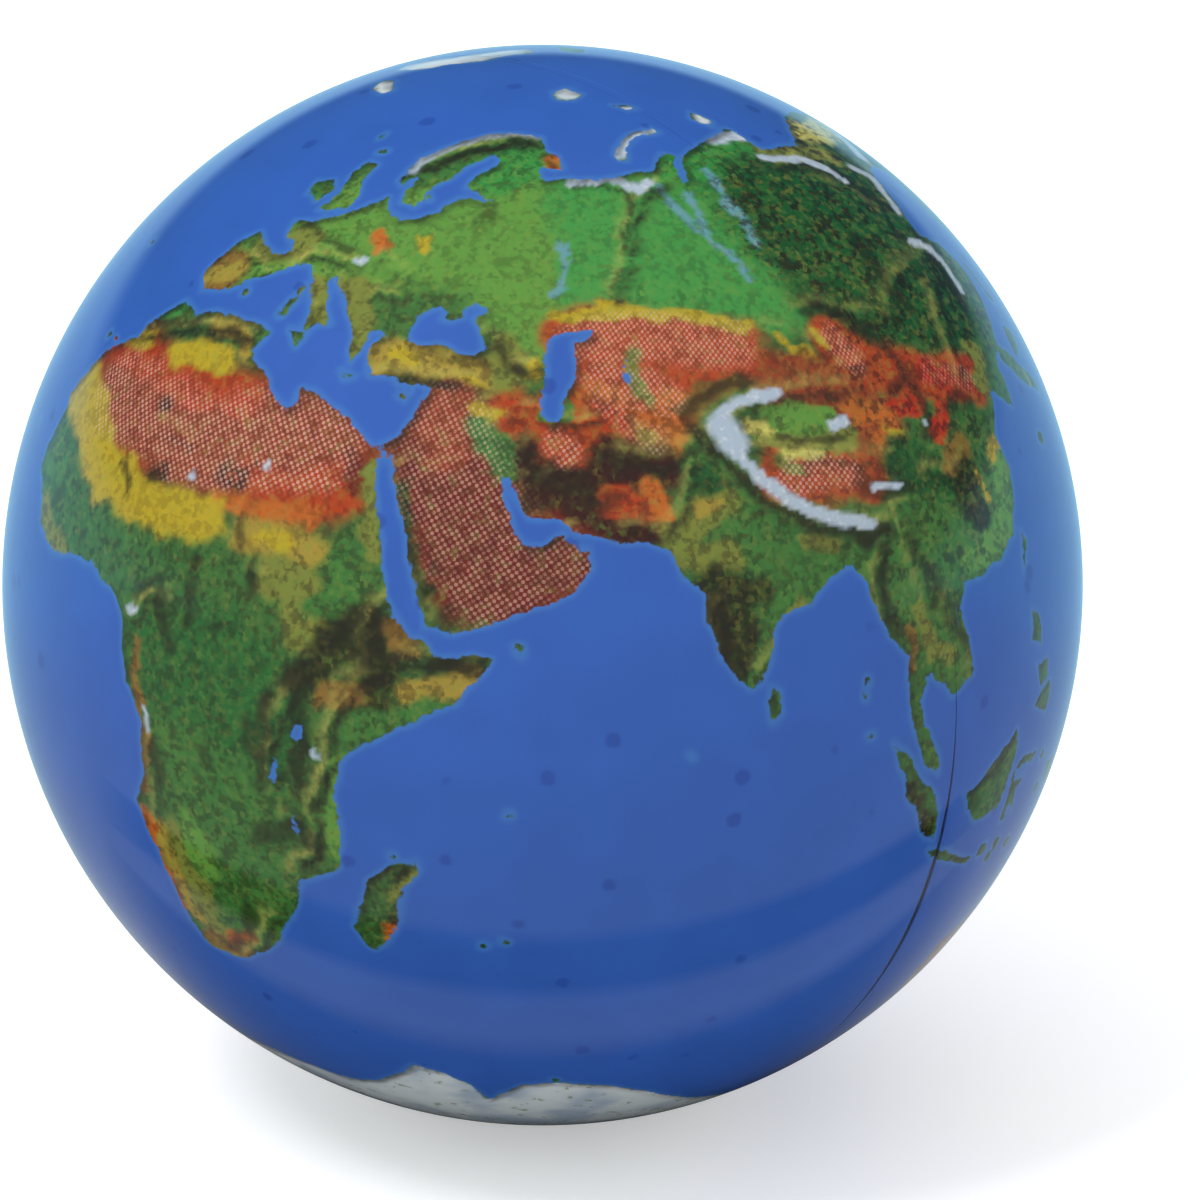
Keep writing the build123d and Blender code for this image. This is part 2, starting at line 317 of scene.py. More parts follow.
# Ridges: half width in degrees, height from 0 to 1, and the crest
RIDGES = [
    (1.4, 1.0, [(72, 36.8), (74.5, 34.5), (79, 31), (84, 28.6), (90, 27.9), (96, 28.8)]),
    (1.2, 0.8, [(66, 35), (70, 36), (73, 38), (76, 40), (80, 42), (88, 43.6), (94, 43)]),
    (1.0, 0.7, [(76, 36.4), (82, 36), (90, 35.8), (99, 35)]),
    (1.1, 0.7, [(84, 49.5), (90, 48), (98, 46)]),
    (1.0, 0.6, [(90, 52.5), (100, 51.8), (108, 50.5)]),
    (1.2, 0.6, [(109, 52.5), (115, 55), (122, 55.8), (134, 56.5)]),
    (1.2, 0.9, [(126.5, 71.5), (128, 67), (133, 63.5), (141, 61.3)]),
    (1.1, 0.9, [(140, 69.5), (146, 65.5), (153, 62.5), (163, 65.5), (176, 67.5)]),
    (0.9, 0.8, [(66, 68.3), (60.5, 65), (59, 61), (58.5, 56), (58, 51.5)]),
    (0.8, 0.9, [(38, 44.2), (43, 43), (48, 41.4)]),
    (0.8, 0.8, [(6.5, 44.5), (7.5, 46), (11, 47), (15.5, 47.3)]),
    (0.6, 0.7, [(-1.5, 43), (2.5, 42.5)]),
    (0.5, 0.6, [(9, 44.5), (13, 42.7), (16, 40.2)]),
    (0.6, 0.6, [(18.5, 49.3), (24.5, 47.8), (26, 45.7), (22.5, 45)]),
    (0.6, 0.7, [(14.5, 45.5), (18, 43.2), (20.5, 41), (22, 39)]),
    (1.0, 1.0, [(7, 60), (9.5, 62.3), (14, 65.3), (18, 68.3), (24, 69.8)]),
    (0.9, 0.9, [(-9, 30.6), (-5, 32.6), (0, 34.4), (5, 35.7), (9.3, 36.3)]),
    (0.8, 0.8, [(29, 37), (33, 37.3), (37, 38.2), (42, 38.5)]),
    (0.6, 0.6, [(34, 41), (40, 40.6)]),
    (1.0, 0.8, [(44, 37.3), (47, 34), (51, 30.5), (55.5, 28)]),
    (0.7, 0.7, [(48.5, 37.3), (52, 36), (57, 37.2)]),
    (0.9, 0.7, [(62, 34.5), (66, 35), (70, 35.8)]),
    (0.8, 0.6, [(63, 26.5), (67, 27), (69.5, 31), (70.5, 34)]),
    (0.9, 0.7, [(35.6, 28), (39.6, 22), (42.5, 18.3), (44.5, 14.2)]),
    (0.6, 0.7, [(56.5, 25.5), (58.8, 23.2)]),
    (1.1, 0.8, [(38.8, 15), (37.5, 11.5), (39.2, 8), (36.8, 5.5)]),
    (1.0, 0.7, [(42, 9.5), (46, 10), (50, 10.8)]),
    (0.9, 0.9, [(36.2, 4), (35.6, 0), (36.8, -3.5), (34.6, -8.5), (35.4, -14), (34, -18)]),
    (0.9, 0.9, [(30.8, 2.5), (29.1, -2), (29.2, -6.5), (32.8, -10)]),
    (0.9, 0.8, [(30.3, -24), (29.2, -29), (26.3, -31.8)]),
    (0.8, 0.6, [(9.3, 4.8), (11, 6.8), (14, 8)]),
    (0.8, 0.5, [(14, -8), (14.5, -12), (15, -15.5), (16.5, -20)]),
    (0.7, 0.6, [(19, -33), (24, -33.6)]),
    (1.0, 0.5, [(20, 16), (19, 20), (16, 22)]),
    (0.8, 0.5, [(4, 24), (8, 23)]),
    (0.7, 0.5, [(22.5, 14), (25, 13)]),
    (0.7, 0.7, [(73.6, 20), (74.6, 14.5), (77, 9.3)]),
    (0.7, 0.5, [(79, 14), (83, 18.3)]),
    (0.8, 0.7, [(94.5, 27), (93.6, 22), (94.6, 17.5)]),
    (0.8, 0.7, [(103.5, 21), (106.5, 17), (108.4, 12.5)]),
    (1.0, 0.8, [(98, 31), (99.5, 26), (100.5, 21)]),
    (0.8, 0.6, [(104, 34), (111, 33.8)]),
    (0.9, 0.7, [(118, 43.5), (121, 48.5), (124, 53)]),
    (0.7, 0.7, [(157.5, 52.5), (160.5, 57.5)]),
    (0.7, 0.7, [(134, 35), (138, 36.4), (140.6, 40)]),
    (0.7, 0.7, [(97, 4), (101, -1), (104.5, -5.2)]),
    (0.6, 0.6, [(106.5, -7), (113.5, -7.9)]),
    (1.0, 0.6, [(111, 0.5), (114.5, 2), (116.7, 5.8)]),
    (0.7, 0.8, [(134, -4), (140, -4.8), (147, -8.7)]),
    (1.5, 0.9, [(-152, 62.5), (-138, 60), (-128, 56), (-117, 50.5), (-110, 43.5), (-106, 38), (-105.5, 33)]),
    (1.0, 0.8, [(-131, 56.5), (-122, 48.5), (-121, 42), (-118.5, 36.5)]),
    (1.1, 0.8, [(-108.5, 29), (-104, 22), (-98, 17.7), (-91, 15), (-84.5, 10.3)]),
    (1.0, 0.6, [(-85, 34.6), (-79, 39), (-72, 44)]),
    (1.1, 0.7, [(-162, 68), (-150, 68.2), (-141, 69)]),
    (1.6, 1.0, [(-73, 8.5), (-76, 3), (-78.5, -2), (-76, -11), (-69.5, -16), (-67.5, -22),
                (-69.8, -30), (-71.3, -38), (-73, -47), (-70.5, -53.5)]),
    (1.2, 0.5, [(-43.5, -14), (-44.5, -20), (-49, -25)]),
    (1.1, 0.5, [(-66, 4.3), (-60.5, 5)]),
    (1.0, 0.6, [(145.3, -17.5), (148.5, -24), (151.5, -30.5), (147.5, -36.8)]),
    (0.9, 0.5, [(130, -23.3), (136, -23.6)]),
    (0.7, 0.8, [(168, -44.8), (172, -42)]),
    (0.8, 0.7, [(46.5, -23), (47.6, -18), (48.8, -14.5)]),
]

# Snow and ice on the land: half width in degrees and the line it lies along
SNOW = [
    (1.6, [(74.2, 38.2), (75.8, 36.6)]),
    (0.7, [(74, 37), (79, 33.3), (83, 30.9), (87.2, 29.6), (93.6, 28.9)]),
    (0.6, [(74.4, 39.6), (76.4, 41), (79.6, 41.9), (82.6, 42.2)]),
    (0.6, [(90.4, 39), (92.4, 39.6)]),
    (0.4, [(94.6, 32.6), (99, 32.8)]),
    (0.6, [(9.4, 60), (8.6, 62.4), (10.5, 65), (14.5, 68.2), (21, 70.6), (28, 71)]),
    (0.6, [(43.6, 65.2), (49, 66), (52, 67.4), (57, 66.6), (60.6, 66), (64, 67.6)]),
    (0.7, [(53.6, 71), (55.4, 73.6), (60.4, 75.8), (67.4, 77.2)]),
    (0.9, [(93, 75.6), (101, 76.4), (110, 76)]),
    (0.55, [(108, 72.4), (117, 71.6), (124.6, 70.8), (129.6, 68.8), (130.6, 66.6)]),
    (0.55, [(143.4, 67), (146, 65.2), (141.4, 63), (138.4, 60.8)]),
    (0.55, [(131.4, 57.6), (135.6, 56.2), (136.4, 54), (134.6, 51)]),
    (0.8, [(158, 66), (168, 67.4), (178, 68)]),
    (0.5, [(34.6, -3.2)]),
    (0.4, [(13.2, -5), (13.8, -7)]),
    (0.4, [(8.4, 4.6), (9.6, 5)]),
    (0.35, [(15.6, 47.6), (17.4, 47.6)]),
    (0.4, [(106.4, 39)]),
    (0.45, [(11.4, 20.2)]),
    (0.45, [(20.4, 24.2)]),
    (1.2, [(-152, 62.5), (-140, 60.3)]),
    (0.7, [(-70, -33), (-72.5, -41), (-73.5, -49)]),
]

# ---------------------------------------------------------------- the map: inks

VEIL = 0.013  # how much the skin's shine lightens the print under the studio light, in linear light


def ink(red, green, blue, veil=VEIL):
    """Linear colour of an ink, from the sRGB colour (0 to 255) that it shows under the shiny skin."""
    seen = np.array([red, green, blue]) / 255
    linear = np.where(seen <= 0.04045, seen / 12.92, ((seen + 0.055) / 1.055) ** 2.4)
    return np.maximum(linear - veil, 0.002)


SEA = ink(54, 92, 170)
SHALLOWS = ink(74, 128, 182)
SPECK = ink(42, 66, 140)
ICE = ink(198, 206, 206)
SNOW_GREY = ink(158, 172, 186)
DOT_PALE = ink(206, 170, 158)
SHADOW = ink(42, 38, 26)

GREEN = ink(58, 100, 52)
LEAF = ink(88, 136, 60)
STEPPE = ink(64, 136, 66)
TAIGA = ink(36, 82, 44)
TUNDRA = ink(56, 132, 62)
JUNGLE = ink(44, 96, 50)
BUSH = ink(60, 108, 54)
OLIVE = ink(112, 120, 56)
DARK_OLIVE = ink(44, 54, 28)
YELLOW = ink(168, 148, 42)
PALE_YELLOW = ink(188, 182, 96)
OCHRE = ink(150, 130, 56)
BROWN = ink(122, 92, 46)
DARK_BROWN = ink(62, 34, 20)
ORANGE = ink(174, 92, 40)
RUST = ink(134, 58, 36)
DARK_RUST = ink(106, 40, 26)
RED = ink(168, 46, 28)
RED_RUST = ink(158, 60, 34)
SALMON = ink(160, 68, 40)
WATER_TINT = ink(92, 140, 150)

# Areas of colour, painted in this order: ink, half width in degrees and the line they lie along
AREAS = [
    # Europe and the north of Asia
    (LEAF, 8.0, [(5, 48), (20, 53), (35, 56), (48, 58), (48, 50)]),
    (STEPPE, 7.0, [(54, 64), (60, 58), (74, 62), (82, 57), (90, 60)]),
    (STEPPE, 4.0, [(54, 53), (70, 54), (86, 53)]),
    (TUNDRA, 4.0, [(74, 70), (85, 72), (97, 72.5)]),
    (TAIGA, 10.0, [(104, 63), (116, 61), (130, 59), (140, 65), (150, 66)]),
    (TAIGA, 6.0, [(99, 54), (110, 53), (122, 52), (133, 52)]),
    (PALE_YELLOW, 2.2, [(145, 73.6), (158, 71), (170, 69)]),
    (OLIVE, 1.6, [(112, 72.6), (128, 71.4), (140, 69.6)]),
    (BUSH, 3.5, [(10, 61), (16, 65), (23, 68)]),
    (TUNDRA, 3.0, [(26, 63), (30, 66)]),
    (ORANGE, 0.9, [(36.5, 68), (38.8, 66.6)]),
    (BUSH, 2.0, [(-4, 53), (-4, 57)]),
    (BROWN, 3.2, [(-4, 40)]),
    (OCHRE, 1.0, [(-5, 39), (-2, 41)]),
    (OLIVE, 2.0, [(0, 45), (5, 47)]),
    (YELLOW, 0.9, [(23.5, 52), (25, 51.6)]),
    (ORANGE, 0.8, [(15.8, 50.6), (17, 50)]),
    (OLIVE, 1.5, [(13, 43), (16, 40.5)]),
    (OLIVE, 2.2, [(19, 44), (22, 41), (22, 38)]),
    (WATER_TINT, 0.5, [(66, 66.5), (72, 62), (78, 59.3), (83, 55.5)]),
    (WATER_TINT, 0.6, [(83, 70), (84.5, 65), (86.5, 60)]),
    (WATER_TINT, 0.5, [(73, 66), (77, 61.6)]),
    (WATER_TINT, 0.4, [(46, 57), (50, 54), (48, 50)]),
    # Turkey, the Caucasus and the Levant
    (OCHRE, 2.2, [(28, 38.6), (35, 39.2), (42, 39.4)]),
    (YELLOW, 0.7, [(30, 38.8), (32, 38.4)]),
    (YELLOW, 0.7, [(40.5, 38.8), (42, 38.4)]),
    (LEAF, 2.2, [(40, 46.6), (46, 46)]),
    (OLIVE, 1.8, [(44, 42.4), (46, 40)]),
    (YELLOW, 0.7, [(47.6, 41.8), (48.4, 40.6)]),
    (OLIVE, 1.0, [(36, 35.5), (36, 33), (35, 31)]),
    # Kazakhstan and Turkestan
    (SALMON, 3.6, [(53.5, 46), (60, 46.5), (68, 47), (77, 46.8)]),
    (SALMON, 3.4, [(57.5, 42), (61, 40), (66, 42.5), (72, 45)]),
    (ORANGE, 2.6, [(58, 38.5), (61, 36), (66, 36), (67, 39)]),
    (YELLOW, 0.8, [(49.3, 47.6), (55, 48.7), (63, 49.9), (72, 50.2), (79, 49.4)]),
    (YELLOW, 0.6, [(84.5, 48.6), (90, 46.5)]),
    (OLIVE, 0.8, [(61.8, 44.8), (62.3, 42.2), (64, 40)]),
    (OCHRE, 0.8, [(61.5, 37.2), (65, 36.4)]),
    (BROWN, 0.9, [(68.5, 39.2), (72, 41.4), (77, 43.4)]),
    # Arabia and Iran
    (DARK_RUST, 6.5, [(40, 31), (44, 26), (48, 20), (56, 21.5)]),
    (RUST, 2.4, [(39, 35.8), (38.8, 33.5), (41, 30.5)]),
    (DARK_OLIVE, 0.7, [(36.8, 26.5), (39.5, 21), (42.6, 16.6)]),
    (RED_RUST, 3.2, [(47.5, 35.4), (53, 35.6), (59, 36)]),
    (DARK_BROWN, 2.6, [(50.4, 32), (53.4, 29.4), (58, 30.6), (60, 33), (66, 33.2)]),
    (DARK_BROWN, 1.6, [(57, 27.6), (62, 26.4), (66, 26.6)]),
    (SALMON, 1.5, [(53.4, 33.4), (55.2, 32.8)]),
    (RED_RUST, 1.6, [(61, 29.4), (65, 28.6)]),
    (ORANGE, 1.1, [(65, 31), (67.2, 28.4)]),
    (BUSH, 1.3, [(43.6, 34.2), (46, 32.3), (48, 30.6)]),
    (YELLOW, 0.9, [(43.2, 36), (45, 35.4)]),
    (TUNDRA, 0.5, [(50.5, 36.7), (54.4, 36.8), (54.6, 38.4)]),
    # India
    (BUSH, 4.0, [(74, 31), (79, 27), (86, 25), (92, 25)]),
    (TAIGA, 1.4, [(71.6, 32.6), (74.6, 31.6)]),
    (OLIVE, 1.6, [(69, 26), (71, 28.4), (74.6, 30.2)]),
    (OCHRE, 0.7, [(71.6, 29.2), (73.6, 29.8)]),
    (OLIVE, 1.6, [(69, 24.4), (72, 24.6), (75.4, 24.8)]),
    (OLIVE, 0.7, [(84, 26.6), (88.6, 26.4)]),
    (DARK_OLIVE, 3.4, [(74.4, 21), (75.6, 17), (77.6, 13)]),
    (DARK_OLIVE, 1.2, [(79, 22), (83, 21)]),
    (BUSH, 1.7, [(83.6, 23), (80.6, 18), (79.4, 12)]),
    (OLIVE, 0.6, [(83.4, 20.4), (81.4, 18)]),
    # Tibet and Mongolia
    (SALMON, 3.0, [(82, 33.6), (88, 33.6), (94, 34)]),
    (RUST, 3.4, [(84, 43.6), (90, 43.4), (96, 42), (98, 38)]),
    (OLIVE, 1.1, [(80, 37.4), (86, 37), (93, 37.6)]),
    (LEAF, 1.6, [(81.6, 39.6), (85, 39.7), (89.4, 39.7)]),
    (PALE_YELLOW, 0.9, [(77.4, 38.6), (80.4, 38.4)]),
    (PALE_YELLOW, 0.6, [(82, 35.8), (88, 36)]),
    (OLIVE, 0.8, [(81.6, 35), (84, 34)]),
    (RED_RUST, 2.8, [(94.6, 48.4), (98, 46.4), (103, 45), (110, 43.6), (120, 42.8)]),
    (RED, 1.3, [(102.4, 41), (105.6, 40.6)]),
    (RED, 1.1, [(108, 37.6), (110.6, 40)]),
    (RED, 1.3, [(111, 44), (114, 43)]),
    (ORANGE, 1.5, [(94.6, 40.6), (99.6, 40)]),
    (ORANGE, 0.8, [(97, 37.2), (100, 38.2)]),
    (YELLOW, 0.5, [(99, 38.8), (101.6, 38.2)]),
    (YELLOW, 0.6, [(92, 49.4), (93.6, 47.6)]),
    # China and the south-east of Asia
    (TAIGA, 3.2, [(100.6, 35), (104, 33), (107, 30)]),
    (BUSH, 4.4, [(101, 27), (108, 26.4), (115, 28), (118, 31)]),
    (BROWN, 1.6, [(109, 34.6), (112, 36)]),
    (DARK_OLIVE, 1.6, [(112, 33.5), (110, 31), (112, 28.6)]),
    (LEAF, 1.5, [(119, 33), (118, 29), (114, 25.4), (109, 24.4)]),
    (YELLOW, 0.9, [(118.6, 34.6), (120.4, 35.6)]),
    (YELLOW, 0.35, [(113.6, 33.4), (114.2, 30)]),
    (OLIVE, 1.0, [(122, 42), (126, 44), (124, 46)]),
    (BUSH, 2.6, [(97, 22), (101, 20), (104, 15)]),
    (OLIVE, 0.8, [(99.6, 20), (101.6, 15.6), (104.6, 15)]),
    (BROWN, 0.6, [(98.4, 17.5), (99, 14)]),
    (DARK_OLIVE, 2.0, [(100, -0.5), (104, -4)]),
    (JUNGLE, 3.0, [(113, 3), (114, -1)]),
    (JUNGLE, 3.0, [(135, -3), (146, -7)]),
    # The north of Africa
    (RUST, 7.0, [(-8, 25), (4, 24.5), (14, 26), (26, 26.5)]),
    (RED_RUST, 2.2, [(-12.6, 28.4), (-6, 28.6), (0, 28.6), (6, 28.6), (13, 29.6)]),
    (RED_RUST, 2.6, [(18, 21.6), (24, 21.4), (31, 24.4)]),
    (DARK_RUST, 1.0, [(29.6, 27.4), (31.6, 25)]),
    (ORANGE, 1.1, [(16, 19.6), (22, 19.8), (28, 20.6)]),
    (YELLOW, 2.8, [(-16.5, 23), (-9.4, 20.4), (-5, 17.6), (-1, 16)]),
    (YELLOW, 1.7, [(-0.6, 31.3), (4, 32), (7, 32.2)]),
    (YELLOW, 1.2, [(-11.2, 29.8), (-7, 29.9)]),
    (YELLOW, 2.5, [(3, 15.6), (9, 15.8), (15.4, 17)]),
    (OCHRE, 2.1, [(21, 16.8), (25, 16.8), (29, 17.2)]),
    (YELLOW, 0.9, [(2, 19), (3.4, 18)]),
    (YELLOW, 0.8, [(22.6, 16.6), (26, 17.4)]),
    (OLIVE, 2.4, [(26, 14), (29.4, 13), (31, 9)]),
    (BUSH, 2.2, [(-16, 15.6), (-12, 13), (-8, 11.6)]),
    (GREEN, 3.4, [(-10, 9), (-3, 9), (4, 9), (9, 10)]),
    (OLIVE, 1.5, [(-12.6, 9), (-9, 7), (-5, 5.8)]),
    (BUSH, 1.6, [(32.4, 18), (35, 14), (32, 12)]),
    (OLIVE, 1.0, [(32.6, 27), (34.4, 22), (36, 19)]),
    (TUNDRA, 0.9, [(-8, 33.4), (-5.6, 34.6)]),
    (OCHRE, 0.9, [(2, 35.2), (8, 35.8), (9.6, 34.2)]),
    # The middle and the south of Africa
    (JUNGLE, 7.0, [(15, 1), (22, 1.6), (27, -1), (24, -6)]),
    (BUSH, 5.0, [(18, -9), (26, -12), (29, -18)]),
    (DARK_OLIVE, 2.4, [(34.4, 8.6), (37, 12), (40, 9), (39, 5)]),
    (DARK_OLIVE, 1.6, [(31, 4), (33.6, 6)]),
    (BROWN, 1.2, [(40.4, 12.2), (42.4, 10.6)]),
    (BROWN, 1.4, [(34.6, 3.4), (37.6, 4.4)]),
    (OCHRE, 1.5, [(43.6, 6), (46.4, 7), (49, 8.6)]),
    (BUSH, 1.8, [(38, 1), (42, 2), (46, 4.4)]),
    (LEAF, 1.0, [(37.6, -3), (37.4, -9), (38.6, -13)]),
    (OLIVE, 2.4, [(18, -19), (20, -24), (22, -29)]),
    (LEAF, 1.8, [(20, -16.5), (22, -21)]),
    (BROWN, 0.8, [(10.6, 2), (11.6, -3), (13.4, -8), (13.6, -14)]),
    (ORANGE, 0.9, [(13.4, -17.6), (15.4, -23), (17, -28)]),
    (OCHRE, 0.8, [(15.4, -18), (17.4, -24), (19.4, -29)]),
    (BUSH, 2.6, [(25, -26), (30, -27)]),
    (BROWN, 1.3, [(21, -31.6), (26, -31.6)]),
    (ORANGE, 0.7, [(24, -30), (27.4, -29)]),
    (DARK_OLIVE, 1.6, [(47, -15), (46.6, -19)]),
    (ORANGE, 0.9, [(45.6, -21), (46.2, -24.6)]),
    (OLIVE, 0.6, [(45, -17), (46.4, -15.6), (48.6, -13)]),
    # The side that faces away
    (TAIGA, 9.0, [(-150, 65), (-120, 60), (-95, 56), (-75, 53)]),
    (TUNDRA, 3.5, [(-115, 67), (-95, 66), (-73, 60)]),
    (RUST, 4.5, [(-113, 40), (-107, 34), (-103, 27)]),
    (YELLOW, 1.6, [(-105, 48), (-102, 41), (-100, 34)]),
    (STEPPE, 5.5, [(-92, 44), (-86, 38), (-90, 33)]),
    (BUSH, 2.5, [(-78, 42), (-82, 35)]),
    (JUNGLE, 3.0, [(-98, 18), (-90, 16), (-84, 12)]),
    (JUNGLE, 9.0, [(-68, -2), (-58, -6), (-60, 2)]),
    (STEPPE, 3.5, [(-58, -14), (-57, -22)]),
    (OLIVE, 4.5, [(-46, -9), (-44, -16), (-50, -24)]),
    (OCHRE, 2.5, [(-40, -8), (-42, -14)]),
    (LEAF, 3.0, [(-60, -30), (-61, -36)]),
    (OCHRE, 2.4, [(-67, -38), (-69, -46), (-69, -51)]),
    (ORANGE, 1.2, [(-69.5, -20), (-70.5, -28)]),
    (RUST, 8.0, [(124, -24), (132, -24), (139, -26)]),
    (YELLOW, 2.0, [(119, -28), (126, -30.5), (138, -31)]),
    (OCHRE, 2.4, [(128, -16), (136, -17.5), (143, -20)]),
    (BUSH, 2.8, [(146, -22), (151, -29), (146, -36)]),
    (BUSH, 2.0, [(117, -32.5)]),
    (JUNGLE, 1.6, [(143, -13), (145, -17)]),
]

# Where the deserts are printed as pale dots on rust: strength, half width and line
DOTTED = [
    (1.0, 4.4, [(-6.5, 24.4), (3, 24.4), (12, 24.6), (19, 28), (26, 28.4)]),
    (1.0, 3.0, [(9, 21.6), (20, 24), (27, 26.5)]),
    (0.7, 5.4, [(40, 32), (43, 28), (46.4, 23), (50, 19)]),
    (0.65, 2.6, [(50, 19), (57.4, 22.2)]),
    (0.8, 2.6, [(54.6, 45.4), (61, 46.4), (70, 47.4), (76, 47.2)]),
    (0.8, 1.9, [(57.4, 42), (59, 39.6), (64.6, 41.6), (67, 40.5)]),
    (0.6, 1.2, [(61, 37.4), (65.4, 36.4)]),
    (0.9, 1.5, [(53.2, 33.6), (55, 32.8)]),
    (0.9, 1.7, [(83.6, 33.8), (91, 34)]),
    (0.8, 1.8, [(95, 48.4), (97, 46.4)]),
    (0.5, 1.4, [(112, 43.8), (120, 42.8)]),
    (0.9, 5.5, [(126, -24.5), (138, -26)]),
    (0.8, 2.0, [(-112, 37), (-107, 33)]),
]

# Where the print is peppered with dark: strength, half width and line. Elsewhere on land it is PEPPER.
PEPPER = 0.45
PEPPERED = [
    (0.12, 8.0, [(48, 58), (62, 60), (78, 60), (86, 55)]),
    (0.15, 6.0, [(20, 52), (35, 54), (48, 50)]),
    (1.0, 10.0, [(104, 62), (116, 60), (130, 58), (145, 66)]),
    (1.0, 6.0, [(104, 53), (120, 52), (133, 52)]),
    (0.1, 8.0, [(-8, 24), (10, 24), (26, 27)]),
    (0.05, 2.8, [(-14, 23), (-9.4, 20.4), (-3, 17)]),
    (0.05, 2.6, [(3, 16), (9, 16), (15.4, 17.2), (24, 17)]),
    (0.05, 1.7, [(-0.6, 31.4), (7, 32.2)]),
    (0.1, 6.5, [(40, 31), (44, 26), (48, 20), (57, 22)]),
    (0.2, 5.0, [(53.5, 46), (66, 46), (77, 46.8)]),
    (0.7, 3.4, [(74.4, 21), (77.6, 13)]),
    (0.7, 5.0, [(96, 42), (104, 40), (112, 38), (108, 28)]),
    (0.65, 4.0, [(98, 25), (96, 20)]),
    (0.35, 5.0, [(16, 1), (24, 1), (24, -8)]),
    (0.3, 3.0, [(83, 25)]),
]

# Dark marks drawn on the map: strength, half width and line
MARKS = [
    (1.0, 0.75, [(2.2, 25.6), (2.8, 25.2)]),
    (1.0, 0.8, [(5.2, 19), (7.4, 19.2)]),
    (1.0, 1.3, [(15.6, 21.6), (17.4, 21.2)]),
    (0.9, 0.7, [(18.4, 22.4), (19.2, 23.4)]),
    (0.9, 0.5, [(0, 18), (2, 16.6), (2.8, 15.4)]),
    (0.8, 0.6, [(19.6, 18.2), (20.6, 16)]),
    (0.8, 0.6, [(22.8, 14.6), (23.6, 11)]),
    (0.8, 0.8, [(16, 13), (16.8, 9), (17, 6)]),
    (0.8, 0.8, [(9.4, 7), (12, 9.4), (13, 6), (15.4, 3)]),
    (0.8, 0.6, [(19.6, 6.6), (21.4, 7)]),
    (0.9, 1.0, [(30.6, 3.8), (33, 8), (35.4, 11.4), (38, 13)]),
    (0.8, 1.6, [(38.4, 10.6), (39.2, 7.4)]),
    (1.0, 0.75, [(41.6, 9.4), (45.6, 9.2), (50.2, 9.8)]),
    (0.9, 0.8, [(32.4, 4), (32, 1), (33, -2.4), (33.4, -8)]),
    (0.9, 0.9, [(29, 2), (28.4, -2), (28.6, -8)]),
    (0.8, 1.2, [(29.4, -14.4), (33, -12.2), (35.6, -13.4)]),
    (0.7, 0.6, [(27.6, -4.2), (26.6, -2)]),
    (0.7, 0.8, [(22, -6.6), (22.4, -8.4)]),
    (0.7, 0.9, [(15.2, -9.4), (15.6, -12)]),
    (0.8, 1.0, [(28, -24), (27.4, -28.6), (24.4, -31.4)]),
    (0.9, 0.7, [(2, 34.4), (6, 35), (9, 34.8)]),
    (0.9, 0.9, [(-8.6, 31.6), (-4.4, 33.4), (-1, 34)]),
    (0.9, 0.45, [(59.2, 67), (59, 61), (58.4, 57.6)]),
    (0.8, 0.45, [(58.2, 54.6), (58, 51.4)]),
    (0.7, 0.7, [(31, 58.4), (31.4, 56.6)]),
    (0.9, 0.7, [(41.6, 44), (44.6, 42.4), (47.2, 40.6)]),
    (0.9, 0.7, [(29.6, 36.8), (33, 36.8), (38.6, 37.4)]),
    (0.7, 0.6, [(38, 41), (43, 40.6)]),
    (0.9, 1.2, [(50.6, 31.6), (53.6, 29.4), (57, 30.4)]),
    (0.8, 0.9, [(60, 33.2), (66.4, 33)]),
    (0.8, 0.8, [(57.4, 31.6), (59, 28.6), (62, 30)]),
    (1.0, 0.75, [(69.8, 38), (71.4, 36.6), (75, 34.6), (79.4, 31.2), (85, 28.6), (93, 27.4), (96, 28.4)]),
    (0.9, 0.8, [(69.6, 38.6), (71.6, 40.8), (75, 42.8), (79, 43.8)]),
    (0.8, 0.5, [(82, 37.4), (87, 37), (92, 37.8)]),
    (0.8, 0.8, [(100, 32.6), (97, 32.4), (93, 33)]),
    (0.8, 1.3, [(73.6, 20.6), (74.6, 16.6), (76.6, 13.4)]),
    (0.8, 0.8, [(94.6, 26), (94.6, 21.6), (96.4, 18.6)]),
    (0.7, 0.7, [(99, 27.6), (101, 24), (104, 20), (107.4, 15)]),
    (0.8, 0.8, [(100, 49.6), (104, 47.4), (107, 44.6)]),
    (0.8, 0.9, [(102, 43), (106, 43.6), (108, 40.6), (106.6, 38)]),
    (0.9, 0.6, [(93, 52.4), (99, 51.4), (104, 49)]),
    (0.9, 0.6, [(110, 70.4), (122, 69.6), (134, 66.6)]),
    (0.9, 0.7, [(120, 71), (131, 66.4), (137, 61.6)]),
    (0.9, 0.8, [(136, 57.4), (133, 54), (131, 50)]),
    (0.7, 0.8, [(113, 60), (112, 54), (115, 51)]),
    (0.8, 0.8, [(112.4, 40), (115, 41), (118, 40.6)]),
    (0.9, 0.5, [(12, 61), (16, 65.6), (22, 68.6), (30, 69)]),
    (0.8, 0.5, [(33, 68), (36, 67)]),
    (0.8, 0.45, [(45, 64.4), (52, 66), (60, 65.4), (66, 66.6)]),
    (0.8, 0.5, [(2, 49), (10, 48.6), (14, 48.4)]),
    (0.8, 0.6, [(99.6, -0.6), (103.6, -4.6)]),
    (0.8, 0.7, [(138, -4.6), (146, -7.6)]),
    (0.9, 0.8, [(-122, 47), (-120, 40)]),
    (0.9, 1.0, [(-111, 46), (-106, 39), (-105, 33)]),
    (0.9, 0.9, [(-79, -3), (-76.5, -10), (-71, -16), (-70, -30), (-72, -42)]),
    (0.8, 0.8, [(146, -19), (151, -27), (148, -35)]),
]


# ---------------------------------------------------------------- the map: fields over its surface

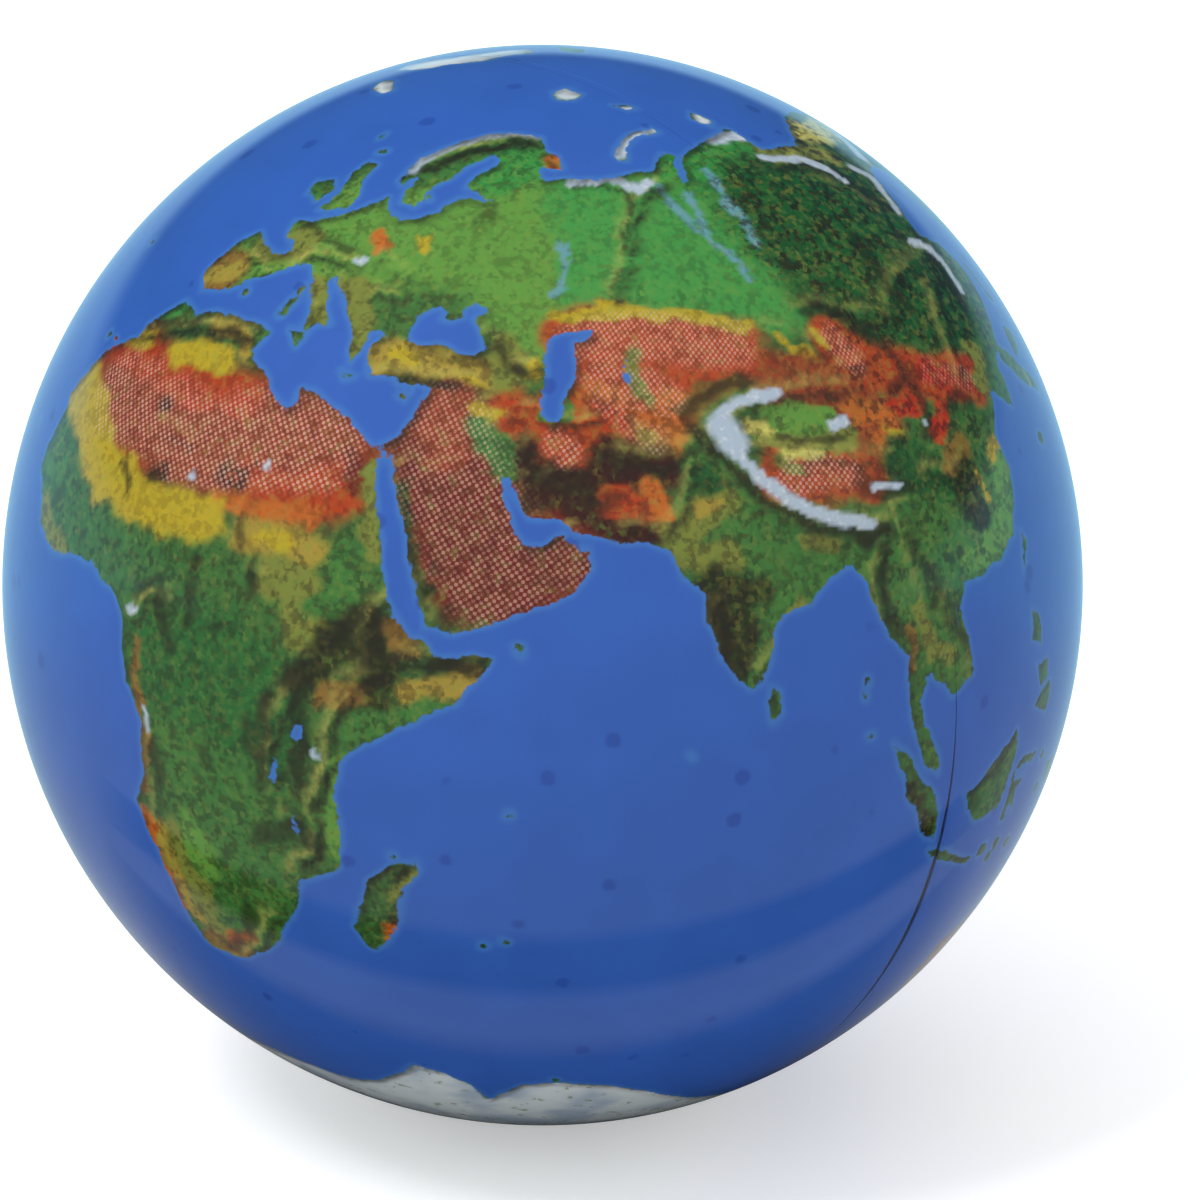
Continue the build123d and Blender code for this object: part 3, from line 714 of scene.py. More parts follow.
FAR = 4.0  # degrees from a coast past which its distance no longer matters
COAST_WARP = 0.007  # how far the small bays and capes reach, as a share of the ball's radius
AREA_WARP = 0.012  # the same for the edges of the areas of colour
CHUNK = 6000  # points worked on at a time


def noise(places, size, seed, layers=3):
    """Smooth random values of about -1 to 1, in blobs of that size, with finer and weaker layers on top."""
    lattice = np.random.default_rng(seed).uniform(-1, 1, (32, 32, 32))
    total = np.zeros(len(places))
    for layer in range(layers):
        p = places * (2**layer / size) + 7.3 * layer
        cell = np.floor(p).astype(int)
        f = p - cell
        f = f * f * (3 - 2 * f)
        for corner in itertools.product((0, 1), repeat=3):
            share = np.prod(np.where(corner, f, 1 - f), axis=1)
            total += 0.5**layer * share * lattice[tuple(((cell + corner) % 32).T)]
    return total


def warped(places, size, reach, seed):
    """Unit vectors moved sideways by up to about reach, so that straight lines between points turn ragged."""
    shift = np.stack([noise(places, size, seed + i) for i in range(3)], axis=1)
    moved = places + reach * shift
    return moved / np.linalg.norm(moved, axis=1, keepdims=True)


def in_chunks(measure, places):
    """measure(places), a part at a time, because its tables of places by segments are large."""
    if len(places) == 0:
        return np.zeros(0)
    parts = np.array_split(places, len(places) // CHUNK + 1)
    return np.concatenate([measure(part) for part in parts])


def line_distance(places, points, within=180.0, closed=False):
    """Degrees from unit vectors to a line through (longitude, latitude) points, and no more than within."""
    corners = unit(*np.array(points, float).T)
    middle = corners.mean(axis=0)
    middle /= np.linalg.norm(middle)
    reach = np.arccos(np.clip(corners @ middle, -1, 1)).max() + np.radians(within)
    near = places @ middle > np.cos(min(reach, np.pi)) - 1e-9
    starts, ends = corners[:-1], corners[1:]
    if closed:
        starts, ends = corners, np.roll(corners, -1, axis=0)
    runs = ends - starts
    lean = np.sum(starts * runs, axis=1)
    run_squared = np.sum(runs * runs, axis=1)

    def measure(part):
        if len(corners) == 1:
            return np.degrees(np.arccos(np.clip(part @ middle, -1, 1)))
        along = np.clip((part @ runs.T - lean) / run_squared, 0, 1)
        reach = part @ starts.T + along * (part @ runs.T)
        length = np.sqrt(1 + 2 * along * lean + along**2 * run_squared)
        return np.degrees(np.arccos(np.clip((reach / length).max(axis=1), -1, 1)))

    distance = np.full(len(places), within)
    distance[near] = np.minimum(in_chunks(measure, places[near]), within)
    return distance


def is_inside(places, outline):
    """Whether a closed line of (longitude, latitude) points winds round each unit vector."""
    starts = unit(*np.array(outline, float).T)
    ends = np.roll(starts, -1, axis=0)
    poles = np.cross(starts, ends)
    apart = np.sum(starts * ends, axis=1)

    def measure(part):
        turns = np.arctan2(part @ poles.T, apart - (part @ starts.T) * (part @ ends.T))
        return np.abs(turns.sum(axis=1)) > np.pi

    return in_chunks(measure, places).astype(bool)


def inland(places, outline):
    """Degrees inland from a closed coast, and less than zero outside it, down to -FAR."""
    corners = unit(*np.array(outline, float).T)
    middle = corners.mean(axis=0)
    same_half = places @ middle > 0
    depth = -line_distance(places, outline, FAR, closed=True)
    inside = np.zeros(len(places), bool)
    inside[same_half] = is_inside(places[same_half], outline)
    deep = inside & (depth == -FAR)
    return np.where(inside, np.where(deep, FAR, -depth), depth)


def coast_depth(places):
    """Degrees inland from the nearest coast, and less than zero at sea."""
    places = warped(places, 0.045, COAST_WARP, seed=11)
    depth = np.full(len(places), -FAR)
    for outline in [AFRICA, EURASIA, NORTH_AMERICA, SOUTH_AMERICA, AUSTRALIA, SOUTH_ICE, *ISLANDS]:
        depth = np.maximum(depth, inland(places, outline))
    for lon, lat, radius in ISLETS:
        depth = np.maximum(depth, radius - line_distance(places, [(lon, lat)], FAR))
    for outline in LAKES:
        depth = np.minimum(depth, -inland(places, outline))
    return np.clip(depth, -FAR, FAR)


def soft_line(places, half_width, points, edge=0.5):
    """1 along a line, falling to 0 around it. edge is the share of the half width over which it falls."""
    distance = line_distance(places, points, 2 * half_width)
    t = np.clip((half_width * (1 + edge / 2) - distance) / (half_width * edge), 0, 1)
    return t * t * (3 - 2 * t)


def relief(places):
    """Height of the drawn mountains, from 0 to 1."""
    height = np.zeros(len(places))
    for half_width, top, points in RIDGES:
        distance = line_distance(places, points, 2.5 * half_width)
        height = np.maximum(height, top * np.exp(-((distance / half_width) ** 2)))
    return height


def colour_areas(places):
    """The ink of the land at each place, as linear RGB."""
    ragged = warped(places, 0.035, AREA_WARP, seed=21)
    colour = np.tile(GREEN, (len(places), 1))
    for area, half_width, points in AREAS:
        share = soft_line(ragged, half_width, points)[:, None]
        colour = colour + share * (area - colour)
    return colour


def strongest(places, rows, start=0.0, edge=0.5):
    """How strongly the rows of strength, half width and line mark each place, painted in order over start."""
    value = np.full(len(places), start)
    for strength, half_width, points in rows:
        share = soft_line(places, half_width, points, edge)
        value = value + share * (strength - value)
    return value


# ---------------------------------------------------------------- pieces

DEGREE_MM = np.radians(1.0) * FILM_RADIUS * MM  # a degree of the map on the ball
PRINT_RINGS = 165  # rings of points on a printed half dome, 0.3 mm apart
LIGHT_STEP = 0.011  # how far up the light's side the relief is compared, as a share of the radius
SEAM_OPEN = -2.72  # where round the seam the print's edges part the most, in radians from +Y
SEAM_FADE = 20  # the higher, the shorter the stretch where they part
SEAM_CLOSED_JOINT = 0.00001  # from the middle plane to a film's rim, where the print closes up
SKIN_CLOSED_JOINT = 0.000012  # the same for a skin: the rims all but touch, so the crease is a hairline
SHARP_EDGE = 8.0  # degrees between two faces, past which their edge isn't shaded smooth
FAN_POINTS = 6  # how many more points each ring has than the one before, out from a pole


def fan(ring):
    """How many points the ring that lies that many rings from a pole has."""
    return max(FAN_POINTS * ring, 1)


def arc_rings(centre, radius, first, last, steps, count, slot):
    """Rings (x, distance from the X axis, points, material) along an arc about a point of the X-r plane."""
    across, up = centre
    rings = []
    for i, angle in enumerate(np.linspace(first, last, steps)):
        rings.append((across + radius * np.cos(angle), up + radius * np.sin(angle), count(i), slot))
    return rings


def joined(first_a, a, first_b, b):
    """Triangles between a ring of a points and the next ring of b points."""
    i, j = (0 if a > 1 else a), (0 if b > 1 else b)
    while i < a or j < b:
        if j < b and (i >= a or (j + 1) / b <= (i + 1) / a):
            yield first_a + i % a, first_b + j, first_b + (j + 1) % b
            j += 1
        else:
            yield first_a + i, first_b + j % b, first_a + (i + 1) % a
            i += 1


def revolved(name, rings, closed=False):
    """A mesh object round the X axis through rings of points. The material is that of the earlier ring."""
    points, starts, faces, slots = [], [], [], []
    for x, reach, count, _ in rings:
        turn = np.arange(count) * 2 * np.pi / count
        starts.append(sum(len(p) for p in points))
        points.append(np.stack([np.full(count, x), reach * np.cos(turn), reach * np.sin(turn)], axis=1))
    pairs = list(zip(range(len(rings)), range(1, len(rings))))
    if closed:
        pairs.append((len(rings) - 1, 0))
    for here, there in pairs:
        new = list(joined(starts[here], rings[here][2], starts[there], rings[there][2]))
        faces += new
        slots += [rings[here][3]] * len(new)
    return made(name, np.concatenate(points), faces, slots)


def made(name, points, faces, slots):
    """A smooth-shaded object from points, faces and their material numbers."""
    mesh = bpy.data.meshes.new(name)
    mesh.from_pydata(points.tolist(), [], faces)
    mesh.polygons.foreach_set("material_index", slots)
    mesh.polygons.foreach_set("use_smooth", [True] * len(faces))
    mesh.set_sharp_from_angle(angle=np.radians(SHARP_EDGE))
    thing = bpy.data.objects.new(name, mesh)
    bpy.context.scene.collection.objects.link(thing)
    return thing


def coordinates(thing):
    """The points of a mesh object as an array."""
    flat = np.empty(3 * len(thing.data.vertices))
    thing.data.vertices.foreach_get("co", flat)
    return flat.reshape(-1, 3)


def mirrored(thing, name):
    """A copy of an east piece for the west, across the plane of the joint."""
    points = coordinates(thing) * (-1, 1, 1)
    faces = [tuple(reversed(face.vertices)) for face in thing.data.polygons]
    slots = [face.material_index for face in thing.data.polygons]
    return made(name, points, faces, slots)


def store(mesh, name, values):
    """Keeps a number, a vector or a colour per point in the mesh, for its material."""
    kind, key = "FLOAT", "value"
    if values.ndim == 2:
        kind, key = "FLOAT_VECTOR", "vector"
    attribute = mesh.attributes.new(name, kind, "POINT")
    attribute.data.foreach_set(key, np.ascontiguousarray(values, dtype=np.float32).ravel())


def keep_place(thing):
    """Stores where each point is at rest, in millimetres, so that textures stay put in a squeeze."""
    store(thing.data, "place", coordinates(thing) * MM)


# The printed films

INKED, PLAIN = 0, 1
BACK_RINGS = 48


def film_rings():
    """From the pole out along the printed side to the rim, and back along the plain side."""
    rim = np.arccos(FILM_JOINT / FILM_RADIUS)
    rings = arc_rings((0, 0), FILM_RADIUS, 0, rim, PRINT_RINGS + 1, fan, INKED)
    inner = FILM_RADIUS - FILM_WALL
    rim = np.arccos(FILM_JOINT / inner)
    return rings + arc_rings((0, 0), inner, rim, 0, BACK_RINGS + 1, lambda i: fan(BACK_RINGS - i), PLAIN)


def seam_fit(points):
    """Brings the rims together all round, but for the stretch where the seam shows."""
    turn = np.arctan2(points[:, 2], points[:, 1])
    apart = np.clip(np.cos(turn - SEAM_OPEN), 0, 1) ** SEAM_FADE
    joint = SEAM_CLOSED_JOINT + apart * (FILM_JOINT - SEAM_CLOSED_JOINT)
    radius = np.linalg.norm(points, axis=1)
    angle = np.arccos(np.clip(np.abs(points[:, 0]) / radius, -1, 1))
    angle = angle * np.arccos(joint / radius) / np.arccos(FILM_JOINT / radius)
    across = radius * np.cos(angle) * np.sign(points[:, 0])
    away = radius * np.sin(angle)
    return np.stack([across, away * np.cos(turn), away * np.sin(turn)], axis=1)


def paint_map(thing):
    """Stores what is printed at each point of a film."""
    lon, lat = map_place(coordinates(thing))
    globe = unit(lon, lat)
    x, y = np.radians(lon), np.radians(lat)
    north = np.stack([-np.sin(y) * np.cos(x), -np.sin(y) * np.sin(x), np.cos(y)], axis=1)
    east = np.stack([-np.sin(x), np.cos(x), 0 * x], axis=1)
    lit = globe + LIGHT_STEP * (north - east) / np.sqrt(2)
    lit /= np.linalg.norm(lit, axis=1, keepdims=True)
    ragged = warped(globe, 0.04, 0.012, 31)
    depth = coast_depth(globe)
    ice = inland(globe, SOUTH_ICE)
    for outline in ICY_ISLANDS:
        ice = np.maximum(ice, inland(globe, outline))
    snow_places = warped(globe, 0.02, 0.004, 41)
    snow = np.max([soft_line(snow_places, width, line) for width, line in SNOW], axis=0)
    mesh = thing.data
    store(mesh, "coast", depth * DEGREE_MM)
    store(mesh, "shore", (depth - coast_depth(lit)) * DEGREE_MM)
    store(mesh, "slope", relief(ragged) - relief(warped(lit, 0.04, 0.012, 31)))
    store(mesh, "ink", colour_areas(globe))
    store(mesh, "mark", strongest(ragged, MARKS, edge=1.0))
    store(mesh, "pepper", strongest(ragged, PEPPERED, PEPPER, edge=0.6))
    store(mesh, "dotted", strongest(ragged, DOTTED, edge=0.6))
    store(mesh, "snow", snow)
    store(mesh, "ice", np.clip(ice / 0.3 + 0.5, 0, 1))
    weave = np.stack([lon * np.cos(np.radians(FRONT_LAT)), lat, 0 * lon], axis=1)
    store(mesh, "weave", weave * DEGREE_MM)


film_east = revolved("printed_map_east", film_rings())
film_west = mirrored(film_east, "printed_map_west")
for film in (film_east, film_west):
    film.data.vertices.foreach_set("co", seam_fit(coordinates(film)).ravel())
    keep_place(film)
    paint_map(film)


# The clear skins

OUTSIDE, WITHIN = 0, 1
SKIN_RINGS = 100
SKIN_BACK_RINGS = 72


def skin_rings():
    """From the pole along the outside to the rim, and back along the inside."""
    rim = np.arccos(SKIN_CLOSED_JOINT / BALL_RADIUS)
    rings = arc_rings((0, 0), BALL_RADIUS, 0, rim, SKIN_RINGS + 1, fan, OUTSIDE)
    rings[-1] = rings[-1][:3] + (WITHIN,)
    rim = np.arccos(SKIN_CLOSED_JOINT / SKIN_INNER_RADIUS)
    back = arc_rings(
        (0, 0), SKIN_INNER_RADIUS, rim, 0, SKIN_BACK_RINGS + 1, lambda i: fan(SKIN_BACK_RINGS - i), WITHIN
    )
    return rings + back


skin_east = revolved("clear_cover_east", skin_rings())
skin_west = mirrored(skin_east, "clear_cover_west")


# The foam ball and the band round its middle

FOAM_RINGS = 60
FOAM_BUMP = 0.00006  # the foam's cells dent its surface by this much
DENT_SIZE = 0.0022
GROOVE_STEPS = 9
BAND_STEPS = 17
BAND_POINTS = 360  # round the band


def foam_rings():
    """Pole to pole, down into the groove and out of it."""
    side = BAND_HALF_WIDTH + GROOVE_SIDE
    edge = np.arccos(side / CORE_RADIUS)
    east = arc_rings((0, 0), CORE_RADIUS, 0, edge, FOAM_RINGS + 1, fan, 0)
    low = np.arccos(side / GROOVE_RADIUS)
    groove = arc_rings((0, 0), GROOVE_RADIUS, low, np.pi - low, GROOVE_STEPS, lambda i: fan(FOAM_RINGS), 0)
    return east + groove + [(-x, reach, points, slot) for x, reach, points, slot in reversed(east)]


def band_rings():
    """Round the band's section: over the outside and back along the inside."""
    inner = BAND_RADIUS - BAND_WALL
    outside = np.arccos(BAND_HALF_WIDTH / BAND_RADIUS)
    inside = np.arccos(BAND_HALF_WIDTH / inner)
    rings = arc_rings((0, 0), BAND_RADIUS, outside, np.pi - outside, BAND_STEPS, lambda i: BAND_POINTS, 0)
    return rings + arc_rings((0, 0), inner, np.pi - inside, inside, BAND_STEPS, lambda i: BAND_POINTS, 0)


foam = revolved("foam_ball", foam_rings())
foam_points = coordinates(foam)
dents = 0.5 + 0.25 * noise(foam_points, DENT_SIZE, 61)
foam_points *= 1 - (FOAM_BUMP / CORE_RADIUS * dents)[:, None]
foam.data.vertices.foreach_set("co", foam_points.ravel())
band = revolved("joining_band", band_rings(), closed=True)
for thing in (skin_east, skin_west, foam, band):
    keep_place(thing)

# ---------------------------------------------------------------- materials

MIX_LOW, MIX_HIGH, MIX_RESULT = 6, 7, 2  # the colour sockets of a Mix node


class Nodes:
    """A node tree, with short ways to add to it. An input may be a number, a colour or a socket."""

    def __init__(self, owner, output="ShaderNodeOutputMaterial"):
        owner.use_nodes = True
        self.tree = owner.node_tree
        self.tree.nodes.clear()
        self.output = self.add(output)

    def add(self, kind, **settings):
        node = self.tree.nodes.new(kind)
        for key, value in settings.items():
            setattr(node, key, value)
        return node

    def feed(self, socket, value):
        if isinstance(value, bpy.types.NodeSocket):
            self.tree.links.new(value, socket)
        elif socket.type == "RGBA":
            socket.default_value = (*value, 1.0)
        else:
            socket.default_value = value

    def math(self, operation, *values, clamp=False):
        node = self.add("ShaderNodeMath", operation=operation, use_clamp=clamp)
        for socket, value in zip(node.inputs, values):
            self.feed(socket, value)
        return node.outputs[0]

    def times(self, *values):
        """The product of all the values."""
        product = values[0]
        for value in values[1:]:
            product = self.math("MULTIPLY", product, value)
        return product

    def plus(self, first, second):
        return self.math("ADD", first, second)

    def measure(self, operation, place, other):
        """A distance or a dot product."""
        node = self.add("ShaderNodeVectorMath", operation=operation)
        self.feed(node.inputs[0], place)
        node.inputs[1].default_value = other
        return node.outputs["Value"]

    def mix(self, share, low, high):
        node = self.add("ShaderNodeMix", data_type="RGBA")
        self.feed(node.inputs["Factor"], share)
        self.feed(node.inputs[MIX_LOW], low)
        self.feed(node.inputs[MIX_HIGH], high)
        return node.outputs[MIX_RESULT]

    def split(self, kind, value):
        """The parts of a colour or a vector."""
        node = self.add(kind)
        self.feed(node.inputs[0], value)
        return node.outputs

    def stored(self, name, colour=False):
        node = self.add("ShaderNodeAttribute", attribute_name=name)
        return node.outputs["Vector" if colour else "Fac"]

    def noise(self, place, size, detail=2.0, rough=0.5):
        """Smooth random values round 0.5, in blobs of about size."""
        node = self.add("ShaderNodeTexNoise")
        self.feed(node.inputs["Vector"], place)
        node.inputs["Scale"].default_value = 1 / size
        node.inputs["Detail"].default_value = detail
        node.inputs["Roughness"].default_value = rough
        return node.outputs["Fac"]

    def cells(self, place, size, randomness=1.0):
        """A random colour per cell and the distance from each cell's middle."""
        node = self.add("ShaderNodeTexVoronoi")
        self.feed(node.inputs["Vector"], place)
        node.inputs["Scale"].default_value = 1 / size
        node.inputs["Randomness"].default_value = randomness
        return node.outputs["Color"], node.outputs["Distance"]

    def ramp(self, value, low, high):
        """0 at low and beyond it, 1 at high and beyond it, and smooth between them."""
        node = self.add("ShaderNodeMapRange", interpolation_type="SMOOTHSTEP")
        self.feed(node.inputs["Value"], value)
        node.inputs["From Min"].default_value = low
        node.inputs["From Max"].default_value = high
        return node.outputs[0]

    def bump(self, height, strength, distance):
        node = self.add("ShaderNodeBump")
        node.inputs["Strength"].default_value = strength
        node.inputs["Distance"].default_value = distance
        self.feed(node.inputs["Height"], height)
        return node.outputs[0]

    def ray(self, kind):
        """1 for the rays of that kind, and 0 for others."""
        return self.add("ShaderNodeLightPath").outputs[kind]

    def shader(self, kind, **inputs):
        """A shader with these inputs. Their names have _ for each space."""
        node = self.add(kind)
        for name, value in inputs.items():
            self.feed(node.inputs[name.replace("_", " ")], value)
        return node.outputs[0]

    def principled(self, roughness, colour, **inputs):
        return self.shader("ShaderNodeBsdfPrincipled", Roughness=roughness, Base_Color=colour, **inputs)

    def either(self, share, first, second):
        """Two shaders mixed."""
        node = self.add("ShaderNodeMixShader")
        for socket, value in zip(node.inputs, (share, first, second)):
            self.feed(socket, value)
        return node.outputs[0]

    def end(self, shader):
        self.feed(self.output.inputs["Surface"], shader)


def material(name, make):
    """A material that make draws in a node tree."""
    new = bpy.data.materials.new(name)
    make(Nodes(new))
    return new


# Sizes on the print, in millimetres
GRAIN_SIZE = 0.9
FINE_SIZE = 0.42
BROAD_SIZE = 4.0
PRINT_CELL = 0.3
DESERT_PITCH = 0.44
SPECK_SPACING = 2.8
SHORE_WIDTH = 0.75
FRINGE_WIDTH = 0.5

# How much of an ink covers what is below it, at most
OCHRE_SHARE = 0.32
LEAF_SHARE = 0.28
MOTTLE_SHARE = 0.85
RIDGE_LIGHT = 0.63
RIDGE_SHADE = 1.6
RIDGE_DARKEST = 0.85
MARK_SHARE = 0.85
DOT_SHARE = 0.6
ICE_STAIN = 0.7
SHORE_SHADE = 0.8
SHORE_CONTRAST = 2.4
SHALLOWS_SHARE = 0.4
SPECK_SHARE = 0.6


def map_print(n):
    """The printed side of the film: land, sea, relief, halftone dots and ice."""
    place = n.stored("place", colour=True)
    grain = n.noise(place, GRAIN_SIZE, 3.0, 0.65)
    fine = n.noise(place, FINE_SIZE, 2.0, 0.6)
    broad = n.noise(place, BROAD_SIZE, 2.0)
    coast = n.stored("coast")
    tone = n.split("ShaderNodeSeparateColor", n.cells(place, PRINT_CELL, 0.6)[0])

    # Land: the areas' inks, mottled lighter, yellower and darker, print dot by print dot
    land = n.stored("ink", colour=True)
    spread = n.plus(n.times(n.stored("pepper"), 0.7), 0.3)
    clump = n.plus(n.times(n.math("SUBTRACT", grain, 0.5), 2.2), 0.5)
    darker = n.ramp(n.plus(n.times(tone[0], 0.6), clump), 0.95, 0.4)
    warmer = n.ramp(n.plus(n.times(tone[1], 0.8), fine), 0.8, 1.5)
    lighter = n.ramp(n.plus(n.times(tone[2], 0.8), clump), 0.9, 1.7)
    land = n.mix(n.times(warmer, spread, OCHRE_SHARE), land, OCHRE)
    land = n.mix(n.times(lighter, LEAF_SHARE), land, LEAF)
    land = n.mix(n.times(darker, spread, MOTTLE_SHARE), land, SHADOW)

    # Relief: pale on the side that faces the light, dark on the other
    slope = n.times(n.stored("slope"), n.plus(n.times(fine, 1.6), 0.2))
    land = n.mix(n.math("MULTIPLY", slope, RIDGE_LIGHT, clamp=True), land, PALE_YELLOW)
    shade = n.math("MINIMUM", n.math("MULTIPLY", slope, -RIDGE_SHADE, clamp=True), RIDGE_DARKEST)
    land = n.mix(shade, land, SHADOW)
    land = n.mix(n.times(n.stored("mark"), n.ramp(grain, 0.3, 0.5), MARK_SHARE), land, SHADOW)

    # Deserts: pale dots in diagonal rows
    weave = n.split("ShaderNodeSeparateXYZ", n.stored("weave", colour=True))
    waves = [n.math("SINE", n.times(weave[axis], 2 * np.pi / DESERT_PITCH)) for axis in (0, 1)]
    dots = n.ramp(n.times(*waves), -0.1, 0.4)
    uneven = n.times(n.ramp(tone[0], -0.3, 0.7), n.ramp(grain, 0.25, 0.5))
    land = n.mix(n.times(dots, n.stored("dotted"), uneven, DOT_SHARE), land, DOT_PALE)

    # Snow and ice
    snow_ink = n.mix(n.ramp(fine, 0.45, 0.9), SNOW_GREY, ICE)
    land = n.mix(n.times(n.stored("snow"), n.ramp(grain, 0.0, 0.3)), land, snow_ink)
    ice = n.mix(n.ramp(broad, 0.4, 0.65), ICE, SNOW_GREY)
    ice = n.mix(n.times(n.ramp(grain, 0.42, 0.3), ICE_STAIN), ice, OLIVE)
    land = n.mix(n.stored("ice"), land, ice)

    # Shores that face away from the light are dark
    turned_away = n.math("MULTIPLY", n.stored("shore"), SHORE_CONTRAST, clamp=True)
    dark_shore = n.times(n.ramp(coast, SHORE_WIDTH, 0.1), turned_away)
    land = n.mix(n.times(dark_shore, SHORE_SHADE), land, SHADOW)

    # Sea: nearly even, with a greener fringe and a few soft specks
    sea = n.mix(n.ramp(broad, 0.3, 0.7), SEA, SEA * 0.93)
    sea = n.mix(n.times(n.ramp(coast, -FRINGE_WIDTH, 0.0), SHALLOWS_SHARE), sea, SHALLOWS)
    speck_tone, speck_distance = n.cells(place, SPECK_SPACING)
    radius = n.times(n.ramp(n.split("ShaderNodeSeparateColor", speck_tone)[0], 0.3, 1.0), 0.2)
    ragged_distance = n.plus(speck_distance, n.times(fine, 0.12))
    speck = n.ramp(n.math("SUBTRACT", ragged_distance, radius), 0.09, 0.0)
    sea = n.mix(n.times(speck, SPECK_SHARE), sea, SPECK)

    edge = n.plus(coast, n.times(n.math("SUBTRACT", fine, 0.5), 0.5))
    colour = n.mix(n.ramp(edge, -0.07, 0.07), sea, land)
    n.end(n.principled(0.55, colour, Normal=n.bump(grain, 0.15, 0.0001), Specular_IOR_Level=0.1))


def film_back(n):
    """The unprinted side of the film: cloudy milky white."""
    place = n.stored("place", colour=True)
    colour = n.mix(n.ramp(n.noise(place, 3.0, 3.0), 0.35, 0.65), (0.72, 0.78, 0.84), (0.8, 0.82, 0.82))
    normal = n.bump(n.noise(place, 0.5), 0.1, 0.0001)
    n.end(n.principled(0.45, colour, Normal=normal, Specular_IOR_Level=0.3))


def clear_vinyl(n):
    """The outside of the skin. It bends and reflects what is seen, and lets the lamps' light through."""
    ripple = n.bump(n.noise(n.stored("place", colour=True), 9.0, 1.0), 0.03, 0.0005)
    glass = n.add("ShaderNodeBsdfGlass", distribution="GGX")
    for name, value in {"Color": (1, 1, 1), "Roughness": 0.0, "IOR": 1.45, "Normal": ripple}.items():
        n.feed(glass.inputs[name], value)
    lamplight = n.math("MAXIMUM", n.ray("Is Shadow Ray"), n.ray("Is Diffuse Ray"))
    n.end(n.either(lamplight, glass.outputs[0], n.shader("ShaderNodeBsdfTransparent")))


def skin_inside(n):
    """The side of the skin that is bonded to the film, where nothing is seen of it."""
    n.end(n.shader("ShaderNodeBsdfTransparent"))


def white_foam(n):
    """Fine open cells in slightly yellow polyurethane foam."""
    place = n.stored("place", colour=True)
    cell = n.cells(place, 0.55)[1]
    colour = n.mix(n.ramp(n.noise(place, 6.0, 3.0), 0.35, 0.65), (0.80, 0.77, 0.68), (0.86, 0.84, 0.78))
    colour = n.mix(n.ramp(cell, 0.25, 0.7), colour, (0.55, 0.52, 0.44))
    n.end(n.principled(0.95, colour, Normal=n.bump(cell, 0.6, 0.0003), Specular_IOR_Level=0.1))


def band_adhesive(n):
    """Dark blue-black bonding strip, slightly uneven."""
    uneven = n.noise(n.stored("place", colour=True), 1.5, 3.0)
    colour = n.mix(n.ramp(uneven, 0.35, 0.65), (0.020, 0.030, 0.055), (0.035, 0.045, 0.075))
    n.end(n.principled(0.6, colour, Normal=n.bump(uneven, 0.3, 0.0002), Specular_IOR_Level=0.2))


film_finish = [material("map_print", map_print), material("film_back", film_back)]
skin_finish = [material("clear_vinyl", clear_vinyl), material("skin_inside", skin_inside)]
FINISHES = [
    (film_east, film_finish),
    (film_west, film_finish),
    (skin_east, skin_finish),
    (skin_west, skin_finish),
    (foam, [material("white_foam", white_foam)]),
    (band, [material("band_adhesive", band_adhesive)]),
]
for thing, finish in FINISHES:
    for coat in finish:
        thing.data.materials.append(coat)

# ---------------------------------------------------------------- what the pieces stand for and the bodies they move with

ROLES = [
    (film_east, "map_film_east", "map_print", "east"),
    (film_west, "map_film_west", "map_print", "west"),
    (skin_east, "clear_skin_east", "clear_vinyl", "east"),
    (skin_west, "clear_skin_west", "clear_vinyl", "west"),
    (foam, "foam_core", "white_foam", "core"),
    (band, "seam_band", "band_adhesive", "core"),
]
ANCHORS = {
    "east": ("east_squeeze", BALL_RADIUS),
    "west": ("west_squeeze", -BALL_RADIUS),
    "core": ("east_squeeze", 0.0),
}
for piece, node, finish, body in ROLES:
    joint, anchor = ANCHORS[body]
    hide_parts(node)
    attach(piece, body)
    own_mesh(piece)

# ---------------------------------------------------------------- floor, light and camera

right, up, towards = (Vector(axis) for axis in view_axes(FRONT_AZIMUTH, FRONT_ELEVATION))
level = Vector(towards[:2] + (0,)).normalized()  # along the floor towards the camera
FOOT = Vector((0, 0, -BALL_RADIUS))

# Painted reflections, as of a light box, that only the ball's shine shows: on the camera's side, low behind
# the ball, and above that
REFLECTED_FRONT = (0.42, 0.42, 0.42)
REFLECTED_BEHIND = (0.38, 0.70, 0.92)
REFLECTED_OVERHEAD = (0.04, 0.10, 0.16)
WORLD_LIGHT = 1.0
FLOOR_SIZE = 3.0  # from the ball to the floor's edges
FLOOR_SEEN = 0.9  # white of the floor in the picture
FLOOR_CLOUD = 0.03  # how much darker it is in places
FLOOR_LIFT = 0.3  # keeps the shadow pale
FLOOR_BOUNCE = 0.7  # what it throws back at the ball
SHADE_CENTRE = -0.9  # SHADE_CENTRE = -0.9 # in ball radii, behind the foot; the mirrored floor's rings of painted light and painted shadow lie round it
# Radius of each ring in ball radii, and its brightness
SHADE_RINGS = [(1.62, 0.0), (1.74, 0.9), (1.90, 0.9), (1.98, 0.0), (2.22, 0.0), (2.32, 1.0)]
SHADE_REACH = 3  # ball radii that the ramp covers


